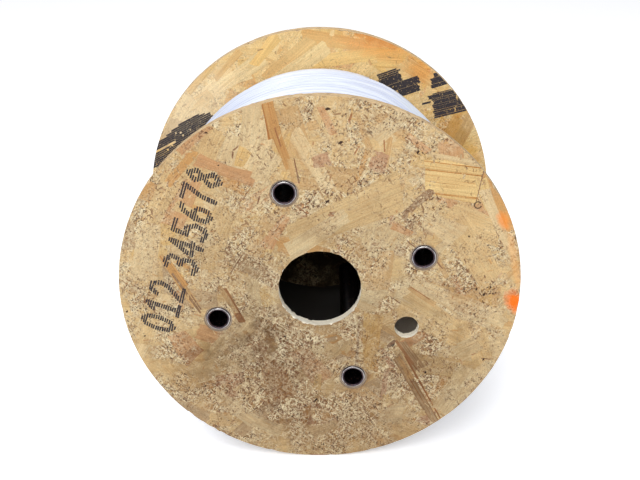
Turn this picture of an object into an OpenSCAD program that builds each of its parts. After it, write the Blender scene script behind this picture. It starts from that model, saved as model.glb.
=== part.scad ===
// Cable reel: two board flanges on a paper tube barrel, held together by four
// hollow steel tie tubes with rolled lips, and wound with white cable.
// The reel stands on its two rims. Its axis lies along Y and +Z is up.
// The origin is on the floor, under the middle of the reel.

/* [Flanges] */
// Diameter of each flange
flange_d = 400; // [380:5:520]
// Thickness of the flange board
flange_t = 10; // [9:0.5:18]
// Clear width between the two flanges
flange_gap = 240; // [160:5:320]
// Diameter of the spindle bore in both flanges
bore_d = 82; // [50:1:110]
// Diameter of the drive pin hole in both flanges
drive_d = 24; // [12:1:30]
// Width left between the drive pin hole and the inside of the barrel
drive_inset = 15; // [12:0.5:24]

/* [Barrel] */
// Outside diameter of the barrel
barrel_d = 260; // [230:2:280]
// Wall of the barrel
barrel_wall = 5; // [3:0.5:8]
// Depth of the groove in each flange that holds the barrel's end
groove_depth = 3; // [2:0.5:5]

/* [Tie tubes] */
// Number of tie tubes
tube_count = 4; // [3:1:6]
// Angle of the first tie tube, from +X towards +Z
tube_angle = 18; // [0:1:40]
// Outside diameter of a tie tube
tube_d = 21; // [16:0.5:26]
// Wall of a tie tube
tube_wall = 1.2; // [0.8:0.1:2]
// How far the rolled lip stands out past the tube
lip_w = 2; // [1.4:0.1:3]
// Width left between a tie tube and the inside of the barrel
tube_inset = 6.5; // [4:0.5:14]

/* [Cable] */
// Diameter of the cable
cable_d = 9.4; // [7:0.1:12]
// Number of layers wound on the barrel, the outer one included
layers = 4; // [2:1:4]
// Turns of the layer below that the outer layer leaves bare beside the rear flange
bare_turns = 3; // [2:1:8]
// Least width left between two turns that lie side by side
turn_gap = 0.2; // [0.1:0.1:1]
// Length of the straight outer end that lies along the rear flange
tail_len = 88; // [84:1:100]
// Length of the inner end that shows inside the barrel
start_len = 35; // [15:1:80]
// Angle at which the inner end enters the barrel, from +X towards +Z
start_angle = -35.5; // [-44:0.5:-34]

/* [End staple] */
// Side of the staple's square wire
staple_wire = 1.4; // [1:0.1:2]
// Distance from where the outer end leaves the winding to the staple
staple_at = 68; // [66:1:72]
// Board left under the staple's legs
staple_skin = 2.5; // [1.5:0.5:4]

/* [Clearances] */
// Between the cable and the flanges
side_fit = 0.3; // [0.1:0.1:1]
// Between the barrel's end and the walls and floor of its groove
groove_fit = 0.2; // [0.1:0.05:0.5]
// Between a tie tube and its hole in the flange
tube_fit = 0.2; // [0.1:0.05:0.5]
// Between the inner layers and the barrel
layer_fit = 0.2; // [0.1:0.05:0.5]
// Between the outer layer and the layers under it
winding_fit = 0.3; // [0.2:0.1:1]
// Between the cable's inner end and the hole it passes in the barrel
lead_fit = 2; // [1.5:0.1:4]
// Between the cable's inner end and the inside of the barrel
lead_wall_gap = 1.5; // [1:0.1:3]
// Between the staple and the cable, and between its legs and the board
staple_fit = 0.1; // [0.05:0.05:0.3]

/* [Hidden] */
$fn = 96;
eps = 1;

// Flanges
axis_z = flange_d / 2;
reel_w = flange_gap + 2 * flange_t;
in_face = flange_gap / 2;
out_face = reel_w / 2;

// Barrel
barrel_r = barrel_d / 2;
barrel_in_r = barrel_r - barrel_wall;
barrel_len = flange_gap + 2 * (groove_depth - groove_fit);

// Tie tubes: each lip is half a ring that sits on the floor of a round sink
tube_r = tube_d / 2;
tube_bore_r = tube_r - tube_wall;
lip_out_r = tube_r + lip_w;
lip_r = (lip_out_r - tube_bore_r) / 2;
lip_mid_r = tube_bore_r + lip_r;
lip_step = 15;
sink_gap = 1.5;
sink_below = 0.2;
sink_depth = lip_r + sink_below;
sink_r = lip_out_r + sink_gap;
sink_floor = out_face - sink_depth;
tube_circle_r = barrel_in_r - tube_inset - tube_r;
tube_step = 360 / tube_count;

// Drive pin hole, half way between the last tie tube and the first
drive_r = drive_d / 2;
drive_circle_r = barrel_in_r - drive_inset - drive_r;
drive_angle = tube_angle - tube_step / 2;

// Winding: the turns of one layer lie in the valleys of the layer below. The
// outer layer starts beside the front flange and ends before the rear one.
cable_r = cable_d / 2;
wind_w = flange_gap - cable_d - 2 * side_fit;
full_turns = floor(wind_w / (cable_d + turn_gap));
pitch = wind_w / full_turns;
layer_step = sqrt(pow(cable_d, 2) - pow(pitch / 2, 2));
wind_r = barrel_r + cable_r + (layers - 1) * layer_step;
turns = full_turns - 1 - bare_turns;
rings = 24;
ring_step = 360 / rings;
wound_sides = 6;
wind_start_z = (wind_w - pitch) / 2;
wind_end_z = wind_start_z - turns * pitch;

// The layers under the outer one: lower where the outer layer's chords dip, and
// at their real height where they lie bare
under_r = wind_r * cos(ring_step / 2) - cable_r - winding_fit;
bare_r = wind_r - layer_step + cable_r;
bare_z = wind_end_z - cable_r - winding_fit;

// After its last turn the outer layer crosses the bare turns to the rear flange,
// where its end leaves downwards
tail_angle = 180;
tail_z = -wind_w / 2;
tail_rings = 8;
cross_rings = 3;
cross_r = (bare_r + winding_fit + cable_r) / cos(ring_step / 2);

// Inner end of the cable, built at the front and mirrored to the rear: it starts
// against the layers, goes through the barrel at a slant and bends to run along
// the barrel's wall
lead_slant = 45;
lead_start_r = barrel_r - cable_r * cos(lead_slant);
lead_start_z = in_face - side_fit - cable_d;
lead_end_r = barrel_in_r - cable_r - lead_wall_gap;
lead_bend_r = (lead_start_r - lead_end_r) / (1 - cos(lead_slant));
lead_steps = 8;
lead_sides = 12;

// Staple
staple_half = cable_r + staple_fit + staple_wire / 2;
staple_leg = flange_t - staple_skin;
staple_under = side_fit + cable_d + staple_fit;

board = "#dcc49a";
paper = "#8d7d6a";
steel = "#b4b6ba";
sheath = "#eef1f7";

// Turns a shape built round Z so that it lies on the reel's axis.
// Its Z then points to the front, and angles run from +X towards +Z.
module on_axis() {
    translate([0, 0, axis_z]) rotate([90, 0, 0]) children();
}

// Places a shape at each tie tube's centre
module at_tubes() {
    for (i = [0 : tube_count - 1]) at_tube(i) children();
}

module at_tube(i) {
    rotate(tube_angle + i * tube_step) translate([tube_circle_r, 0, 0]) children();
}

// One flange, built at the front and mirrored for the rear
module flange_blank() {
    difference() {
        translate([0, 0, in_face]) cylinder(r = flange_d / 2, h = flange_t);
        translate([0, 0, in_face - eps]) cylinder(r = bore_d / 2, h = flange_t + 2 * eps);
        rotate(drive_angle) translate([drive_circle_r, 0, in_face - eps])
            cylinder(r = drive_r, h = flange_t + 2 * eps);
        at_tubes() translate([0, 0, in_face - eps])
            cylinder(r = tube_r + tube_fit, h = flange_t + 2 * eps);
        at_tubes() translate([0, 0, sink_floor]) cylinder(r = sink_r, h = sink_depth + eps);
        barrel_groove();
    }
}

// Ring groove in the inner face that holds the barrel's end
module barrel_groove() {
    difference() {
        translate([0, 0, in_face - eps])
            cylinder(r = barrel_r + groove_fit, h = groove_depth + eps);
        translate([0, 0, in_face - 2 * eps])
            cylinder(r = barrel_in_r - groove_fit, h = groove_depth + 4 * eps);
    }
}

module front_flange() {
    color(board) on_axis() flange_blank();
}

module rear_flange() {
    color(board) on_axis() difference() {
        mirror([0, 0, 1]) flange_blank();
        staple_shape(staple_fit);
    }
}

// Paper tube with the slanted hole for the cable's inner end
module barrel() {
    color(paper) on_axis() difference() {
        translate([0, 0, -barrel_len / 2]) cylinder(r = barrel_r, h = barrel_len);
        translate([0, 0, -barrel_len / 2 - eps])
            cylinder(r = barrel_in_r, h = barrel_len + 2 * eps);
        mirror([0, 0, 1]) rotate(start_angle) translate([lead_start_r, 0, lead_start_z])
            rotate([0, lead_slant, 0])
            cylinder(r = cable_r + lead_fit, h = 6 * barrel_wall, center = true);
    }
}

// Steel tube whose two ends are rolled over the board
module tie_tube(i) {
    lip = [for (a = [180 : -lip_step : 0])
        [lip_mid_r + lip_r * cos(a), sink_floor + lip_r * sin(a)]];
    upper = concat(lip, [[tube_r, sink_floor]]);
    lower = [for (k = [len(upper) - 1 : -1 : 0]) [upper[k].x, -upper[k].y]];
    color(steel) on_axis() at_tube(i) rotate_extrude() polygon(concat(upper, lower));
}

module tie_tube_1() { tie_tube(0); }
module tie_tube_2() { tie_tube(1); }
module tie_tube_3() { tie_tube(2); }
module tie_tube_4() { tie_tube(3); }

// The layers under the outer one, as one sleeve with a step at the bare turns
module cable_inner_layers() {
    len = flange_gap - 2 * side_fit;
    color(sheath) on_axis() difference() {
        translate([0, 0, -len / 2]) union() {
            cylinder(r = under_r, h = len);
            cylinder(r = bare_r, h = len / 2 + bare_z);
        }
        translate([0, 0, -len / 2 - eps])
            cylinder(r = barrel_r + layer_fit, h = len + 2 * eps);
    }
}

// One ring of the cable round the point c, with n sides in the plane of u and v
function ring(c, u, v, n) = [for (k = [0 : n - 1])
    c + cable_r * (cos(k * 360 / n) * u + sin(k * 360 / n) * v)];

// A closed tube through rings of n sides, with triangles for faces
function tube_points(rs) = [for (r = rs) for (p = r) p];
function tube_faces(count, n) = concat(
    [for (i = [0 : count - 2]) for (k = [0 : n - 1]) let (m = (k + 1) % n)
        each [[i * n + k, i * n + m, (i + 1) * n + k],
              [i * n + m, (i + 1) * n + m, (i + 1) * n + k]]],
    [for (k = [1 : n - 2]) [0, k + 1, k]],
    [for (k = [1 : n - 2]) [0, k, k + 1] + (count - 1) * n * [1, 1, 1]]);

module tube(rs, n) {
    polyhedron(points = tube_points(rs), faces = tube_faces(len(rs), n));
}

// The cable's inner end, from the layers into the barrel
module cable_inner_end() {
    bend_mid = [lead_end_r + lead_bend_r, 0, lead_start_z - lead_bend_r * sin(lead_slant)];
    bend = [for (i = [0 : lead_steps]) let (a = 180 - lead_slant * (1 - i / lead_steps))
        let (u = [cos(a), 0, sin(a)])
        ring(bend_mid + lead_bend_r * u, u, [0, 1, 0], lead_sides)];
    run = ring(bend_mid - [lead_bend_r, 0, start_len], [-1, 0, 0], [0, 1, 0], lead_sides);
    color(sheath) on_axis() mirror([0, 0, 1]) rotate(start_angle)
        tube(concat(bend, [run]), lead_sides);
}

// Rings of the outer layer: a straight start, the turns, the last of which
// crosses to the rear flange, and the straight tail
last_ring = turns * rings;
cross_ring = last_ring - cross_rings;
cross_z = wind_start_z - pitch * cross_ring / rings;
function turn_angle(i) = tail_angle + (i - last_ring) * ring_step;
function turn_r(i) = i < cross_ring ? wind_r : cross_r;
function turn_z(i) = i < cross_ring ? wind_start_z - pitch * i / rings
    : cross_z + (tail_z - cross_z) * (i - cross_ring) / cross_rings;
function out_at(a) = [cos(a), sin(a), 0];
function along_at(a) = [-sin(a), cos(a), 0];
function turn_point(i) = turn_r(i) * out_at(turn_angle(i)) + [0, 0, turn_z(i)];
// The ring at ring number i, moved the distance d straight along the cable
function wound_ring(i, d) = ring(turn_point(i) + d * along_at(turn_angle(i)),
    out_at(turn_angle(i)), [0, 0, 1], wound_sides);
start_ring = wound_ring(0, -cable_d);
turn_rings = [for (i = [0 : last_ring]) wound_ring(i, 0)];
end_rings = [for (k = [1 : tail_rings]) wound_ring(last_ring, k * tail_len / tail_rings)];
all_rings = concat([start_ring], turn_rings, end_rings);

// Least gap between neighbouring turns, measured from corner to corner.
// The first and last rings have no neighbour on one side.
function ring_gap(a, b) = min([for (p = a) for (q = b) norm(p - q)]);
turn_clear = min([for (i = [0 : last_ring - rings])
    min([for (j = [-1 : 1]) let (k = min(i + rings + j, last_ring))
        ring_gap(turn_rings[i], turn_rings[k])])]);
tail_clear = min([for (r = end_rings) for (i = [last_ring - rings : last_ring - rings / 2])
    ring_gap(r, turn_rings[i])]);
echo(least_gap_in_winding_mm = min(turn_clear, tail_clear));
echo(turns_in_outer_layer = turns, pitch_mm = pitch, outer_winding_r_mm = wind_r + cable_r);

// The outer layer, one unbroken length of cable
module cable_outer_layer() {
    color(sheath) on_axis() tube(all_rings, wound_sides);
}

// U-shaped staple over the cable's outer end. grow widens it for its leg holes.
module staple_shape(grow) {
    w = staple_wire + 2 * grow;
    translate([cross_r * cos(tail_angle), -staple_at, -in_face]) {
        for (s = [-1, 1]) translate([s * staple_half - w / 2, -w / 2, -staple_leg - grow])
            cube([w, w, staple_leg + staple_under + staple_wire + 2 * grow]);
        translate([-staple_half, -w / 2, staple_under - grow])
            cube([2 * staple_half, w, w]);
    }
}

module end_staple() {
    color(steel) on_axis() staple_shape(0);
}

front_flange();
rear_flange();
barrel();
tie_tube_1();
tie_tube_2();
tie_tube_3();
tie_tube_4();
cable_inner_layers();
cable_inner_end();
cable_outer_layer();
end_staple();
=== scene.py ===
# %% [markdown]
# # A wire spool: two board flanges, four steel tie tubes and a wound cable
#
# A board reel is a plain thing, and all its character is in its materials: pressed wood strands
# of every tone and direction, and one long soft white cable that winds from flange to flange.
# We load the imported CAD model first. It is the fixed frame that every piece sits on.

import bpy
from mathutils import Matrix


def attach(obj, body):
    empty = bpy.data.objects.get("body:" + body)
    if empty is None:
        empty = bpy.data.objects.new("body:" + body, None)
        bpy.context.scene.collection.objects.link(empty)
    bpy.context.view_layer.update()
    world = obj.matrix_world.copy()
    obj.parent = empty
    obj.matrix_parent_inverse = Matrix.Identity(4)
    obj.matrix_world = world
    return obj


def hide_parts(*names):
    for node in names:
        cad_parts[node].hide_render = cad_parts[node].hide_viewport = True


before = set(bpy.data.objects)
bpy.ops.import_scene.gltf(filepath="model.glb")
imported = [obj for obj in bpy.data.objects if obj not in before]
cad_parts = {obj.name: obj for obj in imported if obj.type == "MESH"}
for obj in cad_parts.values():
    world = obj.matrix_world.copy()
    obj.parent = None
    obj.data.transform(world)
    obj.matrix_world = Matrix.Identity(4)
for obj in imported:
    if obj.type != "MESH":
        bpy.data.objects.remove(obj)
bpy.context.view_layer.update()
print("CAD nodes:", sorted(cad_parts))

# %% Tools of the lesson
import math
import random
from collections import Counter
from math import atan2, cos, hypot, pi, radians, sin

import bmesh
import bpy
import numpy as np
from mathutils import Matrix, Vector
from mathutils.geometry import delaunay_2d_cdt

# %% [markdown]
# The sizes repeat those of the CAD source. They are in millimetres, and a point becomes
# metres only when it goes into a mesh. A place on a flange is (x, z), measured from the reel's
# axis as seen from the front.

# %% Sizes of the reel
MM = 0.001
AXIS_Z = 200.0
FLANGE_R = 199.9
OUT_FACE = 130.0
IN_FACE = 120.0
BOARD_T = OUT_FACE - IN_FACE
BORE_R = 41.0
DRIVE_R = 12.0
DRIVE_AT = (87.318, -44.491)
TUBE_CIRCLE_R = 108.0
TUBE_AT = [(TUBE_CIRCLE_R * cos(radians(a)), TUBE_CIRCLE_R * sin(radians(a)))
           for a in (18, 108, 198, 288)]
SINK_R = 14.0
SINK_DEPTH = 1.8
TUBE_HOLE_R = 10.7
GROOVE_R = (124.8, 130.2)
GROOVE_DEPTH = 3.0
print("tie tubes at", [(round(x, 1), round(z, 1)) for x, z in TUBE_AT])

# %% [markdown]
# Five short tools serve every piece: one places a point on turned axes, three make objects and
# meshes, and one lists the faces between the rows of a tube.

# %% Mesh helpers


def placed(x, z, turn, u, v):
    """The place (u, v) on axes that lie at (x, z) and are turned, in radians."""
    return x + u * cos(turn) - v * sin(turn), z + u * sin(turn) + v * cos(turn)


def show(name, data):
    """A new object in the scene."""
    made = bpy.data.objects.new(name, data)
    bpy.context.scene.collection.objects.link(made)
    return made


def add_mesh(name, points, faces, smooth=False):
    """A new mesh object from points in metres."""
    mesh = bpy.data.meshes.new(name)
    mesh.from_pydata(points, [], faces)
    mesh.polygons.foreach_set("use_smooth", [smooth] * len(faces))
    return show(name, mesh)


def face_out(mesh):
    """Turns all faces outwards and returns the number of open edges."""
    shape = bmesh.new()
    shape.from_mesh(mesh)
    bmesh.ops.recalc_face_normals(shape, faces=shape.faces)
    open_edges = sum(not e.is_manifold for e in shape.edges)
    shape.to_mesh(mesh)
    shape.free()
    return open_edges


def tube_faces(rows, sides, start=0, ring=False):
    """Faces between rows of points, closed by two caps or, for a ring, on itself."""
    def at(row, k):
        return start + row % rows * sides + k % sides

    faces = [(at(i, k), at(i, k + 1), at(i + 1, k + 1), at(i + 1, k))
             for i in range(rows if ring else rows - 1) for k in range(sides)]
    if not ring:
        faces.append([at(0, k) for k in range(sides)][::-1])
        faces.append([at(rows - 1, k) for k in range(sides)])
    return faces


print("mesh helpers are ready")

# %% [markdown]
# ## Camera
# The camera comes first, because it decides which side of each piece needs the most care. It
# stands in front of the reel and looks down on it, so that the rear flange and the top of the
# winding show above the front flange.

# %% Camera
CAMERA_AT = Vector((0.0036, -1.130, 0.7126))
CAMERA_LENS = 63.42
PITCH, YAW, ROLL = (radians(a) for a in (24.66, -0.17, -0.56))


def camera_matrix():
    """The camera's axes as columns: right, up and back."""
    ahead = Vector((sin(YAW) * cos(PITCH), cos(YAW) * cos(PITCH), -sin(PITCH)))
    level = Vector((cos(YAW), -sin(YAW), 0))
    above = level.cross(ahead)
    right = level * cos(ROLL) + above * sin(ROLL)
    up = above * cos(ROLL) - level * sin(ROLL)
    return Matrix.Translation(CAMERA_AT) @ Matrix((right, up, -ahead)).transposed().to_4x4()


camera = show("camera", bpy.data.cameras.new("camera"))
camera.data.lens = CAMERA_LENS
camera.data.sensor_width = 36
camera.matrix_world = camera_matrix()
bpy.context.scene.camera = camera
print("camera looks down by", round(math.degrees(PITCH), 2), "degrees")

# %% [markdown]
# ## Short ways to build node trees
# A material in Blender is a graph of nodes. A small class keeps the graphs readable: one method
# adds a node and feeds its inputs, the others do arithmetic, noise and colour with it. Colours
# are written as they look on a screen, and turned into the linear values a renderer works with.

# %% Node helpers


def linear(red, green, blue):
    """A screen colour in 0..255 as linear RGBA."""
    parts = [c / 255 for c in (red, green, blue)]
    return [c / 12.92 if c <= 0.04045 else ((c + 0.055) / 1.055) ** 2.4 for c in parts] + [1.0]


class Graph:
    """A node tree. An input is a value or the socket that it is fed from."""

    def __init__(self, tree):
        self.tree = tree

    def feed(self, made, inputs):
        """Links or sets the inputs of a node and returns its outputs."""
        for key, value in inputs.items():
            if isinstance(value, bpy.types.NodeSocket):
                self.tree.links.new(value, made.inputs[key])
            else:
                made.inputs[key].default_value = value
        return made.outputs

    def node(self, kind, inputs=None, **settings):
        made = self.tree.nodes.new("ShaderNode" + kind)
        for key, value in settings.items():
            setattr(made, key, value)
        return self.feed(made, inputs or {})

    def group(self, tree, **inputs):
        """Places a node group with its own values."""
        made = self.tree.nodes.new("ShaderNodeGroup")
        made.node_tree = tree
        return self.feed(made, inputs)

    def calc(self, operation, a, b=0.0):
        return self.node("Math", {0: a, 1: b}, operation=operation)[0]

    def times(self, first, *others):
        """The product of two or more numbers."""
        for other in others:
            first = self.calc("MULTIPLY", first, other)
        return first

    def add(self, a, b):
        return self.calc("ADD", a, b)

    def less(self, a, b):
        return self.calc("SUBTRACT", a, b)

    def vector(self, operation, a, b):
        return self.node("VectorMath", {0: a, 1: b}, operation=operation)[0]

    def mix(self, amount, under, over, mode="MIX"):
        """Puts one colour over another by an amount. A tuple is a screen colour."""
        under, over = (linear(*c) if isinstance(c, tuple) else c for c in (under, over))
        return self.node("Mix", {0: amount, 6: under, 7: over}, data_type="RGBA",
                         blend_type=mode, clamp_factor=True)[2]

    def shade(self, amount, under, over):
        """Multiplies a colour by another, by an amount."""
        return self.mix(amount, under, over, "MULTIPLY")

    def scaled(self, colour, amount):
        """A colour times a number."""
        grey = self.node("CombineColor", dict.fromkeys(range(3), amount))[0]
        return self.shade(1.0, colour, grey)

    def ramp(self, value, low, high, to_low=0.0, to_high=1.0):
        """Maps low..high to to_low..to_high, with nothing outside."""
        return self.node("MapRange", {"Value": value, "From Min": low, "From Max": high,
                                      "To Min": to_low, "To Max": to_high})["Result"]

    def span(self, value, to_low, to_high):
        """Maps 0..1 to to_low..to_high."""
        return self.ramp(value, 0.0, 1.0, to_low, to_high)

    def noise(self, vector, scale, detail=2.0, roughness=0.5, distortion=0.0, output="Fac"):
        return self.node("TexNoise", {"Vector": vector, "Scale": scale, "Detail": detail,
                                      "Roughness": roughness, "Distortion": distortion})[output]

    def attribute(self, name, output="Vector"):
        return self.node("Attribute", attribute_name=name)[output]


def new_group(name, inputs, outputs):
    """A reusable group. An input without a starting value is a vector."""
    tree = bpy.data.node_groups.new(name, "ShaderNodeTree")
    for socket, value in inputs.items():
        kind = "NodeSocketVector" if value is None else "NodeSocketFloat"
        made = tree.interface.new_socket(socket, in_out="INPUT", socket_type=kind)
        if value is not None:
            made.default_value = value
    for socket in outputs:
        tree.interface.new_socket(socket, in_out="OUTPUT", socket_type="NodeSocketFloat")
    return Graph(tree), tree.nodes.new("NodeGroupInput").outputs, tree.nodes.new("NodeGroupOutput")


print("node helpers are ready")

# %% [markdown]
# ## Wood grain
# Each strand was sliced off a log along its fibres, so it has fine streaks along its length. The
# group takes coordinates that run along and across one strand, and squeezes a cloud noise until
# it is streaks. The third coordinate is a random number, so no two strands match.

# %% Group: wood fibre
g, given, result = new_group("wood_fibre", {"Strand": None, "Along": 28.0, "Across": 700.0},
                             ["Streak", "Fine"])
stretch = g.node("CombineXYZ", {0: given["Along"], 1: given["Across"], 2: 1.0})[0]
squeezed = g.vector("MULTIPLY", given["Strand"], stretch)
g.feed(result, {"Streak": g.ramp(g.noise(squeezed, 1.0, 3.0, 0.6, 0.35), 0.3, 0.7),
                "Fine": g.ramp(g.noise(squeezed, 2.7, 2.0, 0.7), 0.3, 0.7)})
FIBRE = g.tree
print("group", FIBRE.name, "made")

# %% [markdown]
# ## Crumbs
# Between the big strands a pressed board is full of short splinters. One layer of them is a
# Voronoi pattern whose cells are drawn out in one direction and bent by noise. Each cell gets
# random numbers for its tone and for whether it is there at all, and its border gives the thin
# dark line round a splinter.

# %% Group: crumbs that lie one way
g, given, result = new_group(
    "wood_crumbs", {"Place": None, "Turn": 0.0, "Length": 0.005, "Width": 0.0014, "Bend": 0.0016},
    ["Tone", "Pick", "Edge"])
swirl = g.noise(given["Place"], 230.0, 1.0, output="Color")
swirl = g.vector("SUBTRACT", swirl, (0.5, 0.5, 0.5))
swirl = g.node("VectorMath", {0: swirl, "Scale": given["Bend"]}, operation="SCALE")[0]
spin = g.node("VectorRotate", {"Vector": g.vector("ADD", given["Place"], swirl),
                               "Angle": given["Turn"]}, rotation_type="Y_AXIS")[0]
across_x, _, across_z = g.node("SeparateXYZ", {0: spin})
flat = g.node("CombineXYZ", {0: g.calc("DIVIDE", across_x, given["Length"]),
                             1: g.calc("DIVIDE", across_z, given["Width"])})[0]
cell = g.node("TexVoronoi", {"Vector": flat, "Scale": 1.0}, voronoi_dimensions="2D")
border = g.node("TexVoronoi", {"Vector": flat, "Scale": 1.0}, voronoi_dimensions="2D",
                feature="DISTANCE_TO_EDGE")
luck = g.node("SeparateColor", {0: cell["Color"]})
g.feed(result, {"Tone": luck[0], "Pick": luck[1],
                "Edge": g.ramp(border["Distance"], 0.0, 0.16, 1.0, 0.0)})
CRUMBS = g.tree
print("group", CRUMBS.name, "made")

# %% [markdown]
# ## Soft spots and dust
# Dirt, a spray of paint, a rust stain and painted shade round a tube are all a soft spot with a
# ragged edge. One group measures how far a place is from the spot's centre, in units of the
# spot's own size, and frays the edge with noise. Dust lies on every surface in broad, faint clouds
# with small grains.

# %% Groups: soft spot and dust
g, given, result = new_group(
    "soft_spot", {"Place": None, "Centre": None, "Size": None, "Turn": 0.0, "Fray": 0.5}, ["Mask"])
away = g.vector("SUBTRACT", given["Place"], given["Centre"])
away = g.node("VectorRotate", {"Vector": away, "Angle": given["Turn"]}, rotation_type="Y_AXIS")[0]
away = g.node("VectorMath", {0: g.vector("DIVIDE", away, given["Size"])}, operation="LENGTH")[1]
ragged = g.times(g.less(g.noise(given["Place"], 90.0, 4.0, 0.65), 0.5), given["Fray"], 2.4)
g.feed(result, {"Mask": g.ramp(g.add(away, ragged), 1.0, 0.35)})
SPOT = g.tree

g, given, result = new_group("dust", {"Place": None, "Cloud": 14.0, "Grain": 900.0},
                             ["Mask", "Grain"])
g.feed(result, {"Mask": g.ramp(g.noise(given["Place"], given["Cloud"], 4.0, 0.6), 0.38, 0.68),
                "Grain": g.ramp(g.noise(given["Place"], given["Grain"], 2.0, 0.6), 0.3, 0.7)})
DUST = g.tree
print("groups", SPOT.name, "and", DUST.name, "made")

# %% [markdown]
# ## Strands as shapes
# A strand is a long splinter with nearly straight sides and torn ends. We keep each one as a
# small record: where it lies, how it is turned, its tone and how high it stands. A second,
# slightly smaller copy of its outline marks where its top surface starts, so that the mesh
# gets a real step round every strand.

# %% Tones of the wood and the strand record
TONES = {name: linear(*tone) for name, tone in {
    "cream": (246, 228, 190), "bright": (255, 230, 172), "straw": (240, 214, 166),
    "yellow": (240, 208, 146), "tan": (228, 194, 144), "honey": (226, 178, 116),
    "salmon": (226, 178, 134), "pink": (206, 162, 134), "rust": (190, 138, 96),
    "umber": (158, 120, 92), "grey": (206, 182, 150), "dark": (74, 54, 44)}.items()}
STEP_W = 0.5
TOP_GAP = 0.03
BASE_H = -0.3


def weighted(**shares):
    """A list that names each tone as often as its share says."""
    return [tone for tone, share in shares.items() for _ in range(share)]


USUAL_TONES = weighted(cream=5, straw=8, yellow=2, tan=6, honey=2, salmon=2, pink=1, grey=2)
SMALL_TONES = USUAL_TONES + weighted(cream=10, umber=3, rust=2)
REAR_TONES = weighted(straw=6, yellow=5, honey=2, tan=2, cream=5, salmon=1)


class Strand:
    """One strand: its outline, the outline of its top, its own axes and its looks."""

    def __init__(self, dice, x, z, length, width, turn, tone, chips, height=None, torn=0.5,
                 own_share=1.0):
        self.x = x
        self.z = z
        self.turn = radians(turn)
        shade = dice.uniform(0.95, 1.04)
        self.tint = [(usual + (own - usual) * own_share) * shade
                     for usual, own in zip(TONES["straw"][:3], TONES[tone][:3])] + [1.0]
        self.chips = chips
        self.height = dice.uniform(-0.2, -TOP_GAP) if height is None else height
        self.seed = dice.uniform(0, 60)
        shape = torn_shape(dice, length, width, torn)
        step = min(STEP_W, 0.3 * width)
        self.outline = [placed(x, z, self.turn, u, v) for u, v in shape]
        self.top = [placed(x, z, self.turn, u * (1 - 2 * step / length),
                           v * (1 - 2 * step / width)) for u, v in shape]

    def own(self, x, z):
        """From the board's axes to the strand's own."""
        return placed(0, 0, -self.turn, x - self.x, z - self.z)


def torn_shape(dice, length, width, torn):
    """Corners of a strand that lies along the first axis."""
    half_l = length / 2
    half_w = width / 2
    taper = dice.uniform(-0.25, 0.25)
    steps = max(2, round(length / 8))
    loose = min(1.1, 0.22 * half_w)

    def side(sign, way):
        found = []
        drift = 0.0
        for k in range(1, steps):
            u = way * half_l * (2 * k / steps - 1)
            drift = min(loose, max(-loose, drift + dice.uniform(-0.5, 0.5) * loose))
            found.append((u, sign * (half_w * (1 + taper * u / half_l) + drift)))
        return found

    def end(sign):
        teeth = 3 if width < 5 else 5
        slant = dice.uniform(-0.9, 0.9) * torn * width
        tooth = 0.4 * torn * min(width, 8)
        wide = half_w * (1 + taper * sign)
        places = [2 * k / (teeth - 1) - 1 for k in range(teeth)]
        return [(sign * half_l + slant * v / 2 + dice.uniform(-tooth, tooth), v * wide)
                for v in places]

    return side(-1, 1) + end(1) + side(1, -1) + end(-1)[::-1]


print(len(TONES), "wood tones")

# %% [markdown]
# ## Scattering strands
# The large and middle strands cover a board almost fully, and the small ones lie on top in
# crowds. The random numbers are seeded, so the board is the same each time the script runs.

# %% Scatter strands over a disc


def scatter(dice, count, length, width, reach, tones, chips, own_share, crowd=None):
    """Strands at random places. With crowd, they gather where a slow wave is high."""
    found = []
    while len(found) < count:
        x = dice.uniform(-reach, reach)
        z = dice.uniform(-reach, reach)
        if hypot(x, z) > reach:
            continue
        if crowd:
            wave = sin(x / 23 + crowd) * sin(z / 29 + 2 * crowd) \
                + 0.5 * sin(x / 11 - z / 13)
            if wave < dice.uniform(-1.0, 0.9):
                continue
        found.append(Strand(dice, x, z, dice.uniform(*length), dice.uniform(*width),
                            dice.uniform(0, 180), dice.choice(tones), dice.uniform(*chips),
                            own_share=own_share))
    return found


print("small strands use", len(SMALL_TONES), "weighted tones")

# %% [markdown]
# ## Cutting the mosaic
# Hundreds of overlapping outlines have to become one clean skin of triangles. A constrained
# Delaunay triangulation takes all outlines at once, cuts them where they cross and lists, for
# every triangle, the outlines that it lies in. The last one listed is on top.

# %% Mosaic of one board face


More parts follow.
